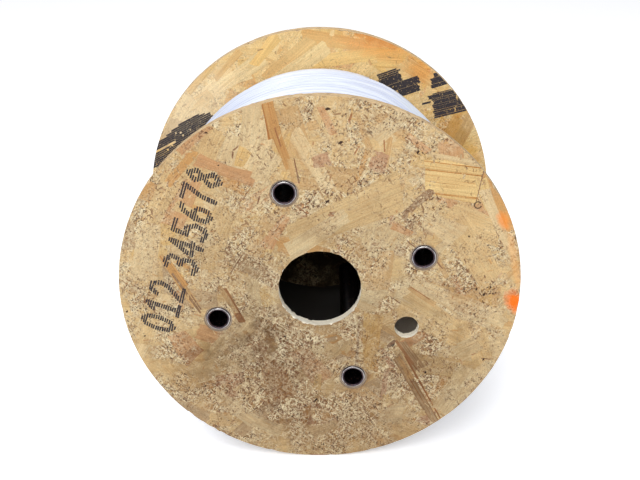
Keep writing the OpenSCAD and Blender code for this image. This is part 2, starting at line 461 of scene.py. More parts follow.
class Face:
    """Triangles of one board face, with a depth for each point and looks for each corner."""

    def __init__(self, rim, holes, ring, strands, marks, depth_of):
        points = []
        shapes = []

        def put(shape):
            start = len(points)
            points.extend(Vector(p) for p in shape)
            shapes.append(list(range(start, len(points))))

        for shape in [rim] + holes + ring:
            put(shape)
        first_strand = len(shapes)
        for strand in strands:
            put(strand.outline)
            put(strand.top)
        first_mark = len(shapes)
        for mark in marks:
            put(mark)
        found, _, triangles, _, _, inside = delaunay_2d_cdt(points, [], shapes, 0, 1e-4)
        self.points = [(p.x, p.y) for p in found]
        self.strands = strands
        self.triangles = []
        self.tops = [set() for _ in found]
        hole_ids = set(range(1, len(holes) + 1))
        ring_ids = set(range(len(holes) + 1, first_strand))
        heights = [BASE_H] * len(found)
        for triangle, ids in zip(triangles, inside):
            own = set(ids)
            if 0 not in own or own & hole_ids or len(own & ring_ids) == 1:
                continue
            covers = [i for i in ids if first_strand <= i < first_mark]
            best = max(((i - first_strand) // 2 for i in covers), default=-1)
            flat = best < 0 or first_strand + 2 * best + 1 in own
            inked = any(i >= first_mark for i in ids)
            self.triangles.append((tuple(triangle), best, flat, float(inked)))
            if flat:
                height = strands[best].height if best >= 0 else BASE_H
                for corner in triangle:
                    heights[corner] = max(heights[corner], height)
                    self.tops[corner].add(best)
        self.depths = [depth_of(height) for height in heights]
        sides = Counter(tuple(sorted(side)) for (a, b, c), *_ in self.triangles
                        for side in ((a, b), (b, c), (c, a)))
        self.open_points = {p for side, count in sides.items() if count == 1 for p in side}

    def corner_looks(self, corner, best, flat, inked):
        """Strand coordinates, tint and (step, chips, ink) of a triangle's corner."""
        x, z = self.points[corner]
        if best < 0:
            return (x * MM, z * MM, 0.0), TONES["straw"], (0.0, 1.0, inked)
        strand = self.strands[best]
        u, v = strand.own(x, z)
        step = 0.0 if flat or best in self.tops[corner] else 1.0
        return (u * MM, v * MM, strand.seed), strand.tint, (step, strand.chips, inked)

    def edge(self, centre, radius, slack=3.0):
        """The open edge near a circle in order of angle, each point as (x, z, depth)."""
        near = []
        for p in self.open_points:
            x, z = self.points[p]
            if abs(hypot(x - centre[0], z - centre[1]) - radius) < slack:
                near.append((atan2(z - centre[1], x - centre[0]), (x, z, self.depths[p])))
        return [place for _, place in sorted(near)]


print("mosaic cutter is ready")

# %% [markdown]
# ## Walls of holes and the sawn rim
# The two faces of a flange are joined by walls. The points of a face's edge are not evenly
# spread, because strands were cut there. So each wall is rolled out flat, its rows are
# triangulated together with the two uneven edges, and it is rolled up again.

# %% Wall between two edges


def wall(edge_a, edge_b, centre, stations, rough, dice, spacing=2.2):
    """Triangles between two edges, through rows given as (radius, depth).
    Each edge is a list of (x, z, depth). Returns points, triangles and rolled-out places."""
    points = []
    flat = []
    mean_r = sum(r for r, _ in stations) / len(stations)

    def put(place, angle, row):
        points.append(place)
        flat.append(Vector((angle * mean_r, row * spacing)))
        return len(points) - 1

    def roll_out(edge, row):
        angles = [atan2(z - centre[1], x - centre[0]) for x, z, _ in edge]
        return [put(*pair, row) for pair in zip(edge + edge[:1], angles + [angles[0] + 2 * pi])]

    low = roll_out(edge_a, 0)
    high = roll_out(edge_b, len(stations) + 1)
    count = max(24, round(2 * pi * mean_r / spacing))
    left = []
    right = []
    for row, (radius, depth) in enumerate(stations, 1):
        start = -pi * (1 - (row % 2) / count)
        ring = []
        for turn in (start + 2 * pi * k / count for k in range(count)):
            r = radius + dice.uniform(-rough, rough)
            ring.append(((*placed(*centre, turn, r, 0), depth), turn))
        numbers = [put(*pair, row) for pair in ring + [(ring[0][0], start + 2 * pi)]]
        left.append(numbers[0])
        right.append(numbers[-1])
    border = low + right + high[::-1] + left[::-1]
    _, _, triangles, origin, _, inside = delaunay_2d_cdt(flat, [], [border], 0, 1e-6)
    kept = [tuple(origin[c][0] for c in t) for t, ids in zip(triangles, inside) if ids]
    return points, kept, [(f.x, f.y) for f in flat]


print("wall maker is ready")

# %% [markdown]
# ## Edges with wear
# A sawn edge is not a perfect circle. It has a fine waviness from the saw, and here and there a
# chip has broken off one face. The same function draws the rim, where the chips cut into the
# board, and the holes, where they make the hole wider.

# %% Worn circle


def worn_circle(dice, centre, radius, points, wave, chips, outward):
    """A circle with a waviness and chips given as (how many, deepest, widest)."""
    how_many, deepest, widest = chips
    bites = [(dice.uniform(0, 2 * pi), dice.uniform(0.3, 1) * deepest,
              dice.uniform(0.4, 1) * widest / radius) for _ in range(how_many)]
    phases = [dice.uniform(0, 6.28) for _ in range(4)]
    shape = []
    for k in range(points):
        angle = 2 * pi * k / points
        swing = sum(sin((5 + 7 * n) * angle + p) for n, p in enumerate(phases)) / 4
        off = wave * (0.5 + 0.5 * swing)
        for at, deep, wide in bites:
            gap = abs((angle - at + pi) % (2 * pi) - pi)
            if gap < wide:
                off = max(off, deep * (1 - gap / wide) ** 0.7)
        shape.append(placed(*centre, angle, radius + (off if outward else -off), 0))
    return shape


print("worn edges are ready")

# %% [markdown]
# ## Printed count
# A counter number is sprayed on the front flange by a drop printer. Its nozzles draw parallel
# lines while the board moves past, so each digit is made of short lines that run in the reading
# direction. We describe a digit by its pen strokes, and ask for each nozzle where it is inside
# a stroke. The numbers are plain counting numbers that read upwards.

# %% Digits of nozzle lines
STROKES = {
    "0": [[(0.5, 1), (0.86, 0.86), (1, 0.5), (0.86, 0.14), (0.5, 0), (0.14, 0.14), (0, 0.5),
           (0.14, 0.86), (0.5, 1)]],
    "1": [[(0.15, 0.78), (0.55, 1), (0.55, 0)], [(0.15, 0), (0.95, 0)]],
    "2": [[(0, 0.78), (0.28, 1), (0.74, 1), (1, 0.76), (0.86, 0.5), (0, 0), (1, 0)]],
    "3": [[(0, 0.92), (0.45, 1), (0.95, 0.85), (0.84, 0.6), (0.4, 0.53)],
          [(0.4, 0.53), (0.9, 0.42), (1, 0.2), (0.55, 0), (0, 0.08)]],
    "4": [[(0.72, 0), (0.72, 1), (0, 0.3), (1, 0.3)]],
    "5": [[(0.95, 1), (0.12, 1), (0.08, 0.56), (0.6, 0.62), (1, 0.38), (0.84, 0.06), (0.4, 0),
           (0, 0.08)]],
    "6": [[(0.9, 0.96), (0.42, 0.86), (0.05, 0.45), (0.1, 0.12), (0.5, 0), (0.92, 0.12),
           (0.95, 0.4), (0.55, 0.56), (0.1, 0.38)]],
    "7": [[(0, 1), (1, 1), (0.45, 0.4), (0.36, 0)]],
    "8": [[(0.5, 0.54), (0.1, 0.76), (0.5, 1), (0.9, 0.76), (0.5, 0.54)],
          [(0.5, 0.54), (0.02, 0.26), (0.5, 0), (0.98, 0.26), (0.5, 0.54)]],
}
DIGIT_W = 12.8
DIGIT_H = 32.0
DIGIT_STEP = 19.0
DIGIT_SLANT = 0.08
NOZZLE_STEP = 2.3
STROKE_HALF = 2.5
SCAN_STEP = 0.3
SCAN_MARGIN = 4
SHORTEST_RUN = 1.2
PRINT_TURN = radians(73.0)


def dash(dice, x, z, length, width, turn):
    """One ink dash as a small ragged outline."""
    blunt = 1 - min(0.4, 0.5 * width / length)
    corners = [(-1, -0.7), (-blunt, -1), (0, -0.9), (blunt, -1), (1, -0.6), (1, 0.6), (blunt, 1),
               (0, 0.9), (-blunt, 1), (-1, 0.7)]
    return [placed(x, z, turn, a * length / 2 * dice.uniform(0.95, 1.05),
                   b * width / 2 * dice.uniform(0.9, 1.0)) for a, b in corners]


def off_stroke(u, v, strokes):
    """Distance from a place on a digit to its nearest stroke, in millimetres."""
    best = 1e9
    for stroke in strokes:
        for (au, av), (bu, bv) in zip(stroke, stroke[1:]):
            au, bu = au * DIGIT_W, bu * DIGIT_W
            av, bv = av * DIGIT_H, bv * DIGIT_H
            run = (bu - au, bv - av)
            t = ((u - au) * run[0] + (v - av) * run[1]) / (run[0] ** 2 + run[1] ** 2)
            t = min(1, max(0, t))
            best = min(best, hypot(u - au - t * run[0], v - av - t * run[1]))
    return best


def nozzle_runs(v, strokes):
    """Where one nozzle line at height v is inside the strokes, as (start, end)."""
    count = round((DIGIT_W + 2 * SCAN_MARGIN) / SCAN_STEP)
    places = [k * SCAN_STEP - SCAN_MARGIN for k in range(count + 1)]
    runs = []
    for u, after in zip(places, places[1:]):
        if off_stroke(u, v, strokes) < STROKE_HALF:
            start = runs.pop()[0] if runs and runs[-1][1] == u else u
            runs.append((start, after))
    return [run for run in runs if run[1] - run[0] > SHORTEST_RUN]


def print_number(dice, text, centre):
    """Ink lines of a number that reads along PRINT_TURN, centred on a place."""
    lines = math.ceil((DIGIT_H + 2 * STROKE_HALF) / NOZZLE_STEP)
    marks = []
    for place, digit in enumerate(text):
        start = (place - len(text) / 2) * DIGIT_STEP
        for line in range(lines):
            v = (line + 0.5) * NOZZLE_STEP - STROKE_HALF
            for low, high in nozzle_runs(v, STROKES[digit]):
                u = start + (low + high) / 2 + DIGIT_SLANT * (v - DIGIT_H / 2)
                w = v - DIGIT_H / 2 + dice.gauss(0, 0.12)
                marks.append(dash(dice, *placed(*centre, PRINT_TURN, u, w), high - low,
                                  dice.uniform(1.7, 2.05), PRINT_TURN + radians(dice.gauss(0, 2))))
    return marks


print("digits ready:", " ".join(STROKES))

# %% [markdown]
# ## Front flange: strands that stand out
# Most strands may lie anywhere, but a few give this board its face: a big pale one with a
# clear grain at the upper right, a long orange one beside the upper tie tube, a striped one
# below the pin hole. These are listed one by one and laid on top of the scattered ones.

# %% Strands of the front flange
FRONT_MARKED = [
    # x, z, length, width, turn, tone, chips (below zero: a comb of dark grain lines)
    (150, 68, 56, 30, -24, "straw", 0.15), (66, 50, 40, 20, 60, "cream", 0.4),
    (-62, 150, 60, 30, 72, "cream", 0.15), (-108, 142, 56, 22, 62, "straw", 0.1),
    (25, 80, 118, 34, 25, "straw", 0.1), (-2, 60, 70, 18, 34, "cream", 0.2),
    (172, 92, 66, 13, -69, "honey", 0.1), (128, 115, 54, 38, -8, "bright", -1.0),
    (160, 100, 34, 12, -70, "bright", -0.3), (174, 70, 76, 9, -66, "cream", 0.1),
    (-44, 178, 40, 13, -80, "honey", -1.0), (-34, 148, 44, 9, -72, "honey", -1.0),
    (-25, 125, 26, 5, -80, "tan", -0.2), (-103, 133, 27, 12, -22, "salmon", 0.1),
    (-78, 123, 37, 14, -20, "salmon", 0.15), (-72, 140, 18, 11, 68, "yellow", 0.1),
    (94, 91, 40, 6, 47, "umber", 0.3), (101, 98, 20, 8, 40, "umber", 0.3),
    (80, 64, 22, 8, -28, "salmon", 0.4), (57, 134, 19, 16, 75, "pink", 0.4),
    (3, 136, 17, 13, 12, "pink", 0.4), (-30, 96, 34, 12, 70, "tan", 0.3),
    (-140, 10, 66, 7, -60, "tan", -0.9), (-142, 16, 30, 9, -62, "honey", -0.3),
    (-133, -4, 52, 2.4, -60, "umber", 0.1), (-87, -18, 42, 6, -66, "rust", -0.4),
    (-92, -12, 34, 5, -62, "tan", 0.2), (-139, -62, 30, 22, -60, "salmon", 0.4),
    (-132, -74, 24, 12, 40, "rust", 0.6), (52, -62, 66, 17, 86, "yellow", 0.3),
    (38, -62, 58, 3, 87, "umber", 0.6), (92, -77, 38, 10, -57, "grey", -1.0),
    (86, -74, 34, 3, -57, "rust", -0.4), (99, -118, 90, 9, -62, "grey", -1.0),
    (106, -116, 86, 1.8, -63, "rust", -0.6), (86, -92, 30, 6, -60, "tan", -0.9),
    (130, -18, 110, 26, -21, "cream", 0.5), (114, -26, 66, 14, -38, "straw", 0.1),
    (102, -9, 34, 5, -36, "tan", 0.3), (122, -18, 62, 1.6, -38, "cream", 0.0),
    (150, 40, 80, 30, -58, "straw", 0.2), (120, 66, 40, 22, -30, "cream", 0.2),
    (-150, 100, 60, 18, 62, "straw", 0.2), (-118, 160, 40, 12, 44, "salmon", 0.2),
    (-170, 40, 60, 24, 80, "cream", 0.5), (-55, 58, 48, 18, 66, "tan", 0.3),
    (-42, 62, 40, 12, 58, "salmon", 0.4), (-100, 60, 60, 24, 70, "straw", 0.4),
    (-60, 20, 56, 18, -35, "grey", 0.8), (-100, -88, 70, 24, 20, "cream", 0.6),
    (-150, -100, 50, 22, -52, "straw", 0.4), (-90, -140, 56, 16, -40, "cream", 0.6),
    (10, -170, 70, 22, 8, "straw", 0.8), (140, -120, 60, 26, 60, "cream", 0.4),
    (150, -70, 26, 20, 30, "cream", 0.1), (-66, -66, 44, 5, -60, "tan", 0.5),
    (20, 165, 60, 12, 84, "straw", 0.3), (8, 176, 30, 7, -66, "salmon", 0.3),
    (44, 160, 44, 6, -70, "tan", 0.3), (70, 172, 46, 16, 40, "cream", 0.6),
    (130, 136, 48, 5, -13, "cream", 0.0), (-125, 48, 50, 16, 20, "cream", 0.4),
    (22, 118, 44, 2, -42, "tan", 0.2), (-176, -40, 44, 20, 74, "straw", 0.5),
    (62, 20, 44, 18, 78, "tan", 0.4), (47, 13, 24, 5, 82, "tan", 0.3),
    (-94, -104, 30, 12, 10, "pink", 0.5), (-186, 60, 30, 12, 84, "grey", 0.5),
    (60, -178, 40, 12, -40, "tan", 0.5), (-64, 172, 40, 16, 80, "cream", 0.1),
    (-84, 150, 26, 14, 70, "cream", 0.1), (-50, 130, 30, 18, 60, "cream", 0.2),
    (-130, 130, 44, 8, 50, "honey", 0.1), (-140, -140, 50, 14, -30, "grey", 0.4),
    (-20, -30, 40, 14, 60, "tan", 0.6), (2, -148, 26, 20, 10, "tan", 0.9),
    (4, -190, 40, 18, 0, "straw", 0.7), (3, -166, 30, 12, 25, "cream", 0.15),
    (74, -149, 25, 20, 4, "cream", 0.2), (-56, -162, 28, 14, -30, "cream", 0.15),
    (-3, -108, 20, 8, 84, "yellow", 0.3),
]
FRONT_BARK = [
    # x, z, length, width, turn, tone: bits of bark and brown edges that stayed in the board
    (154, 109, 34, 0.9, 80, "umber"), (-81, 143, 7, 1.6, 82, "umber"),
    (-78, 149, 7, 1.4, 40, "umber"), (118, 25.5, 12, 1.6, -52, "umber"),
    (91, 47, 13, 1.4, -42, "umber"), (75, -13, 14, 1.0, -38, "umber"),
    (26, -19, 11, 1.0, 62, "umber"), (72.5, -64, 9, 4.6, 44, "umber"),
    (74, -65.5, 4.5, 2.4, 40, "dark"), (-38, 160, 20, 1.4, -74, "rust"),
    (-21, 126, 26, 1.4, -80, "umber"), (-124, -14, 20, 1.4, -62, "umber"),
    (12.5, 80.5, 6, 5, 0, "rust"), (13, 81, 3, 2.6, 0, "umber"), (-82, 28, 24, 1.2, 58, "umber"),
    (62, 150, 12, 1.2, -86, "rust"), (-58, 96, 9, 1.6, 74, "umber"),
    (-64, -112, 14, 1.4, -48, "umber"), (168, -82, 8, 1.2, -8, "umber"),
    (36, 146, 10, 1.4, 60, "rust"), (30, 178, 9, 2, 70, "rust"), (100, -6, 24, 0.9, -36, "rust"),
]
FRONT_DARK = [
    # x, z, length, width, turn: burnt specks
    (9, 187, 4.4, 2.8, 20), (21, 154, 3.2, 2.6, 40), (94, 144, 3.6, 2.2, 60),
    (-6, -131, 6, 1.5, 48), (-9, 95, 2.4, 2, 0), (167, -83, 2.6, 1.8, 40), (-95, 132, 2, 1.2, 30),
    (-105, 165, 2.4, 2, 0), (-36, -54, 2.4, 1.6, 10), (164, -8, 3.4, 2.4, 30),
    (8, 94, 4, 2.4, 30), (156, -2, 2.6, 1.8, 70), (150, 4, 2.4, 1.2, 0), (170, 0, 2.4, 1.4, 60),
    (-30, -150, 2.6, 1.6, 20), (-80, -128, 2.4, 1.2, 50), (-120, -112, 2, 1.6, 0),
    (146, 56, 2.2, 1.6, 0), (-178, -52, 2.2, 1.4, 10), (-194, -24, 2.4, 1.6, 40),
    (112, -66, 3, 1.4, 20), (108, -98, 3.4, 2, 60), (114, -104, 2.4, 1.4, 0),
]


def lay(dice, rows, height=None, torn=0.4, own_share=0.85):
    """Turns rows of numbers into strands."""
    return [Strand(dice, *row, height, torn, own_share) for row in rows]


def knot(dice, x, z, radius):
    """An open ring of dark bark, as round a small knot."""
    return [Strand(dice, *placed(x, z, radians(60 + 38 * k), radius, 0), 0.8 * radius, 1.3,
                   150 + 38 * k, "dark", 0.0, -0.5, 0.4, 0.85) for k in range(8)]


def crowd_of_strands(dice, tones, large=64, middle=190, inside=195.0):
    """Large and middle strands, mixed. What they leave free is full of crumbs."""
    mixed = scatter(dice, large, (40, 95), (12, 28), inside, tones, (0.1, 0.7), 0.75)
    mixed += scatter(dice, middle, (16, 42), (4, 12), inside, tones, (0.2, 1.0), 0.85)
    dice.shuffle(mixed)
    return mixed


dice = random.Random(41)
front_strands = crowd_of_strands(dice, USUAL_TONES) + lay(dice, FRONT_MARKED)
front_strands += scatter(dice, 560, (2.5, 7), (0.7, 2.0), 197, SMALL_TONES, (0, 0.6), 0.7, 1.3)
front_strands += knot(dice, 153, 89, 3.3)
front_strands += lay(dice, [(*row, 0.2) for row in FRONT_BARK], -0.4, 0.9, 1.0)
front_strands += lay(dice, [(*row, "dark", 0.0) for row in FRONT_DARK], -0.7, 0.9, 1.0)
front_print = print_number(dice, "012", (-157, -16)) + print_number(dice, "345678", (-122, 77))
print("front flange:", len(front_strands), "strands and", len(front_print), "ink dashes")

# %% [markdown]
# ## Rear flange: cleaner strands and roller ink
# The inner face of the rear flange was never walked on. Its strands are longer and yellower,
# and broad bars of black ink were rolled over it. The roller was nearly dry, so each bar is a
# bundle of streaks with bare wood between them.

# %% Strands and bars of the rear flange
REAR_MARKED = [
    (28, 184, 92, 15, -9, "honey", 0.1), (50, 168, 120, 15, 7, "yellow", 0.1),
    (-34, 165, 70, 13, 40, "tan", 0.1), (-20, 158, 74, 18, 36, "cream", 0.1),
    (96, 160, 60, 15, -4, "yellow", -0.4), (-88, 150, 64, 16, 34, "cream", 0.2),
    (-120, 132, 60, 16, 40, "cream", 0.1), (-148, 112, 56, 12, 30, "straw", 0.1),
    (-60, 176, 44, 13, 52, "yellow", 0.1), (-104, 158, 44, 8, 48, "tan", 0.1),
    (-134, 146, 50, 9, 50, "yellow", -0.4), (-164, 96, 60, 14, 56, "cream", 0.1),
    (16, 195, 7, 5, 80, "cream", 0.0), (150, 60, 70, 20, 62, "tan", 0.1),
    (168, 74, 60, 14, 66, "grey", 0.1), (118, 146, 54, 14, -34, "straw", -0.6),
    (-176, 76, 44, 12, 60, "grey", 0.2), (66, 186, 50, 7, -20, "honey", -0.3),
]
INK_PATCHES = [
    # corners, turn of the streaks, pace between them, share of ink
    ([(-126, 103), (-141, 100), (-154, 94), (-163, 88), (-173, 80), (-183, 71), (-203, 58),
      (-203, 30), (-180, 40), (-160, 55), (-140, 72), (-116, 96)], 28, 2.2, 0.97, (1,)),
    ([(66, 146), (91, 154.5), (93, 150), (93.6, 146), (70, 139)], 19, 2.2, 1.0, (1, 1, 2)),
    ([(64, 138), (94, 146.5), (96, 138.5), (112, 143.5), (115, 141), (115.5, 128),
      (100, 121), (80, 125)], 19, 3.0, 1.0, (2, 3, 4)),
    ([(131, 144), (138, 149), (154, 140), (154, 136), (128, 129), (127, 133)], 17, 2.4, 0.97),
    ([(125, 119.5), (131, 123), (153, 128), (166, 122), (176, 98), (170, 96.5), (134, 90),
      (131, 104), (130, 112)], 14, 2.4, 0.93),
    ([(101, 121), (147, 132), (147, 133.2), (101, 122.4)], 14, 1.2, 0.8),
    ([(105, 117.5), (126, 122), (126, 124.4), (105, 119.5)], 14, 2.0, 0.7),
    ([(116, 134), (125, 136), (125, 137.6), (116, 135.4)], 14, 1.4, 0.8),
    ([(118, 109.6), (131, 112), (131, 114), (118, 111.4)], 14, 1.8, 0.9),
]
INK_THINNEST = 0.3
INK_RAGGED = 1.5
INK_RUN = (24, 70)


def streak(dice, x, z, length, width, turn):
    """A bundle of ink lines that starts and stops raggedly."""
    teeth = max(2, round(width / 0.8))
    return [placed(x, z, turn, side * (length / 2 - dice.uniform(0, min(1.8, 0.2 * length))),
                   side * width * (k / teeth - 0.5)) for side in (1, -1) for k in range(teeth + 1)]


def crossings(corners, v):
    """Where the line at height v crosses a closed outline, in order."""
    found = []
    for (au, av), (bu, bv) in zip(corners, corners[1:] + corners[:1]):
        if (av > v) != (bv > v):
            found.append(au + (bu - au) * (v - av) / (bv - av))
    return sorted(found)


def ink_patch(dice, corners, turn, pace, share, bundles=(1, 2, 3)):
    """An outline filled with the long, nearly dry streaks of an ink roller."""
    turn = radians(turn)
    rolled = [placed(0, 0, -turn, x, z) for x, z in corners]
    low = min(v for _, v in rolled)
    high = max(v for _, v in rolled)
    marks = []
    while low < high - INK_THINNEST:
        wide = min(pace * dice.choice(bundles), high - low)
        v = low + wide / 2
        ends = crossings(rolled, v)
        for u, end in zip(ends[::2], ends[1::2]):
            u -= dice.uniform(-INK_RAGGED, INK_RAGGED)
            end += dice.uniform(-INK_RAGGED, INK_RAGGED)
            while end - u > INK_RAGGED:
                run = min(dice.uniform(*INK_RUN), end - u)
                if dice.random() < share:
                    marks.append(streak(dice, *placed(0, 0, turn, u + run / 2, v), run,
                                        wide - dice.uniform(0.05, 0.3), turn))
                u += run
        low += wide
    return marks


rear_strands = crowd_of_strands(dice, REAR_TONES) + lay(dice, REAR_MARKED)
rear_strands += scatter(dice, 220, (3, 9), (0.8, 2.4), 197, SMALL_TONES, (0, 0.4), 0.7, 2.1)
rear_ink = [mark for patch in INK_PATCHES for mark in ink_patch(dice, *patch)]
print("rear flange:", len(rear_strands), "strands and", len(rear_ink), "ink streaks")

# %% [markdown]
# ## From faces and walls to one flange
# A flange is one closed skin: two mosaics, the rim, the bore, the pin hole, four stepped holes
# and the groove that holds the barrel. Every corner of a triangle carries what the material
# needs. A map for baking is laid out too, so that a face stays in one piece in it.

# %% Flange builder
FACE_SLOT = {"outer": 0, "inner": 1, "rim": 2, "hole": 3}
MAP_SCALE = 0.0015
FACE_MAP = {"outer": (MAP_SCALE, 0.305, 0.305), "inner": (0.00094, 0.805, 0.195)}
MAP_ROW = 600.0
MAP_LEFT = 0.02
MAP_WALLS = 0.62
MAP_GAP = 4.0
WALL_CHIPS = 0.4


class Skin:
    """Collects triangles with their corner looks, and merges equal points."""

    def __init__(self, side):
        self.side = side
        self.places = {}
        self.points = []
        self.triangles = []
        self.slots = []
        self.looks = []
        self.map_top = MAP_WALLS

    def number(self, x, z, depth):
        """Number of the point at (x, z) on the board, depth below its outer face."""
        key = (round(x, 3), round(z, 3), round(depth, 3))
        if key not in self.places:
            self.places[key] = len(self.points)
            self.points.append((x * MM, self.side * (OUT_FACE - depth) * MM, (AXIS_Z + z) * MM))
        return self.places[key]

    def triangle(self, corners, slot, looks):
        """One triangle, unless merging made it a line."""
        numbers = [self.number(*corner) for corner in corners]
        if len(set(numbers)) == 3:
            self.triangles.append(numbers)
            self.slots.append(FACE_SLOT[slot])
            self.looks.extend(looks)

    def add_face(self, face, slot):
        """One mosaic face, with its flat place in the baking map."""
        scale, u0, v0 = FACE_MAP[slot]
        for triangle, *kind in face.triangles:
            corners = [(*face.points[c], face.depths[c]) for c in triangle]
            self.triangle(corners, slot, [
                (*face.corner_looks(c, *kind), (u0 + x * scale, v0 + z * scale))
                for c, (x, z, _) in zip(triangle, corners)])

    def add_wall(self, edge_a, edge_b, centre, stations, rough, dice, slot, tint):
        """One wall, rolled out in rows of the baking map."""
        points, triangles, flat = wall(edge_a, edge_b, centre, stations, rough, dice)
        low = min(f[0] for f in flat)
        tall = max(f[1] for f in flat)
        seed = dice.uniform(0, 60)
        for triangle in triangles:
            row = int((sum(flat[c][0] for c in triangle) / 3 - low) / MAP_ROW)
            looks = []
            for c in triangle:
                at = (MAP_LEFT + (flat[c][0] - low - row * MAP_ROW) * MAP_SCALE,
                      self.map_top + (row * (tall + MAP_GAP) + flat[c][1]) * MAP_SCALE)
                looks.append(((flat[c][0] * MM, points[c][2] * MM, seed), tint,
                              (0.0, WALL_CHIPS, 0.0), at))
            self.triangle([points[c] for c in triangle], slot, looks)
        rows = int((max(f[0] for f in flat) - low) / MAP_ROW) + 1
        self.map_top += rows * (tall + MAP_GAP) * MAP_SCALE

    def build(self, name):
        """The finished mesh object."""
        made = add_mesh(name, self.points, self.triangles)
        mesh = made.data
        mesh.polygons.foreach_set("material_index", self.slots)
        places, tints, marks, maps = (np.array(k, "f").ravel() for k in zip(*self.looks))
        for key, kind, field, values in (("strand_place", "FLOAT_VECTOR", "vector", places),
                                         ("strand_tint", "FLOAT_COLOR", "color", tints),
                                         ("board_marks", "FLOAT_VECTOR", "vector", marks)):
            mesh.attributes.new(key, kind, "CORNER").data.foreach_set(field, values)
        mesh.uv_layers.new(name="OFBake").data.foreach_set("uv", maps)
        print(name, len(mesh.polygons), "triangles,", face_out(mesh), "open edges")
        return made


print("flange builder is ready")

# %% Build one flange
HUB = (0, 0)
CLEAN = [1.0, 1.0, 1.0, 1.0]
# Tint for the sink and hole round each tie tube: painted shade, with some grime.
GRIME_AND_SHADE = [0.4, 0.33, 0.29, 1.0]
LIP_SEAT_R = 12.3
RIM_ROWS = [(FLANGE_R - 0.12, 1.4), (FLANGE_R, 3.2), (FLANGE_R - 0.05, 5.0), (FLANGE_R, 6.8),
            (FLANGE_R - 0.12, 8.6)]
HOLE_DEPTHS = (1.6, 3.3, 5.0, 6.7, 8.4)
SINK_ROWS = [(SINK_R, SINK_DEPTH), (LIP_SEAT_R, SINK_DEPTH), (TUBE_HOLE_R, SINK_DEPTH),
             (TUBE_HOLE_R, 5.0), (TUBE_HOLE_R, 8.2)]
GROOVE_ROWS = [(r, BOARD_T - GROOVE_DEPTH) for r in (GROOVE_R[0], sum(GROOVE_R) / 2, GROOVE_R[1])]


def flange(name, side, outer_strands, outer_ink, inner_strands, inner_ink, dice):
    """A whole flange. Its holes are a little wider than in the CAD part, never narrower."""
    rims, bores, pins = ([worn_circle(dice, *row) for _ in range(2)] for row in (
        (HUB, FLANGE_R, 420, 0.3, (26, 2.2, 7.0), False),
        (HUB, BORE_R + 0.05, 150, 0.35, (16, 1.7, 3.0), True),
        (DRIVE_AT, DRIVE_R + 0.05, 56, 0.3, (5, 1.0, 2.0), True)))
    sinks = [worn_circle(dice, at, SINK_R, 60, 0.3, (4, 0.9, 2.5), True) for at in TUBE_AT]
    backs = [worn_circle(dice, at, TUBE_HOLE_R, 48, 0.15, (2, 0.6, 2.0), True) for at in TUBE_AT]
    groove = [worn_circle(dice, HUB, r, 260, 0.0, (0, 0, 1), True) for r in GROOVE_R[::-1]]
    outer = Face(rims[0], [bores[0], pins[0]] + sinks, [], outer_strands, outer_ink,
                 lambda height: -height)
    inner = Face(rims[1], [bores[1], pins[1]] + backs, groove, inner_strands, inner_ink,
                 lambda height: BOARD_T + height)
    skin = Skin(side)
    skin.add_face(outer, "outer")
    skin.add_face(inner, "inner")

    def join(centre, radius_a, radius_b, stations, rough, slot, tint=CLEAN):
        skin.add_wall(outer.edge(centre, radius_a), inner.edge(centre, radius_b), centre,
                      stations, rough, dice, slot, tint)

    join(HUB, FLANGE_R, FLANGE_R, RIM_ROWS, 0.09, "rim")
    join(HUB, BORE_R, BORE_R, [(BORE_R + 0.3, d) for d in HOLE_DEPTHS], 0.22, "hole")
    join(DRIVE_AT, DRIVE_R, DRIVE_R, [(DRIVE_R + 0.2, d) for d in HOLE_DEPTHS], 0.15, "hole")
    for at in TUBE_AT:
        join(at, SINK_R, TUBE_HOLE_R, SINK_ROWS, 0.04, "hole", GRIME_AND_SHADE)
    skin.add_wall(inner.edge(HUB, GROOVE_R[0], 2.0), inner.edge(HUB, GROOVE_R[1], 2.0), HUB,
                  GROOVE_ROWS, 0.0, dice, "hole", CLEAN)
    return skin.build(name)


def plain_side(tones, seed, crowd):
    """Strands of a face that needs no listed strand."""
    own_dice = random.Random(seed)
    found = crowd_of_strands(own_dice, tones, 56, 150)
    return found + scatter(own_dice, 260, (3, 9), (0.8, 2.6), 197, SMALL_TONES, (0, 0.6), 0.7,
                           crowd)


front_flange = flange("front_flange_board", -1, front_strands, front_print,
                      plain_side(REAR_TONES, 7, 0.6), [], random.Random(11))
rear_flange = flange("rear_flange_board", 1, plain_side(USUAL_TONES, 8, 2.7), [],
                     rear_strands, rear_ink, random.Random(12))

# %% [markdown]
# ## Board materials
# All board materials start from the tint that each strand carries. Grain darkens it in streaks,
# crumbs and specks are laid over it, and the steps between strands get a thin broken line of
# painted shade. Only then come dirt, spray paint and ink. There is painted shade round three tube
# lips too, and on the rear inner face where the barrel covers it. The outer face is worn and a
# little grey, the inner one yellower, the rim shows sawn layers and the holes fresh wood.

# %% Material helpers


def new_material(name):
    """An empty material, its graph and coordinates in metres that stay with the object."""
    made = bpy.data.materials.new(name)
    made.use_nodes = True
    made.node_tree.nodes.clear()
    g = Graph(made.node_tree)
    return made, g, g.node("TexCoord")["Object"]


def surface(g, height, relief, **looks):
    """The finished Principled surface, with a small relief. Looks are named as its inputs."""
    inputs = {key.replace("_", " "): value for key, value in looks.items()}
    inputs["Normal"] = g.node("Bump", {"Height": height, "Distance": relief})[0]
    g.node("OutputMaterial", {"Surface": g.node("BsdfPrincipled", inputs)[0]})


def dress(piece, slot, node, *surfaces):
    """Materials, body and the CAD node, if any, that a piece stands for. The slot is not used."""
    for material in surfaces:
        piece.data.materials.append(material)
    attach(piece, "root")
    if node:
        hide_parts(node)


print("material helpers are ready")

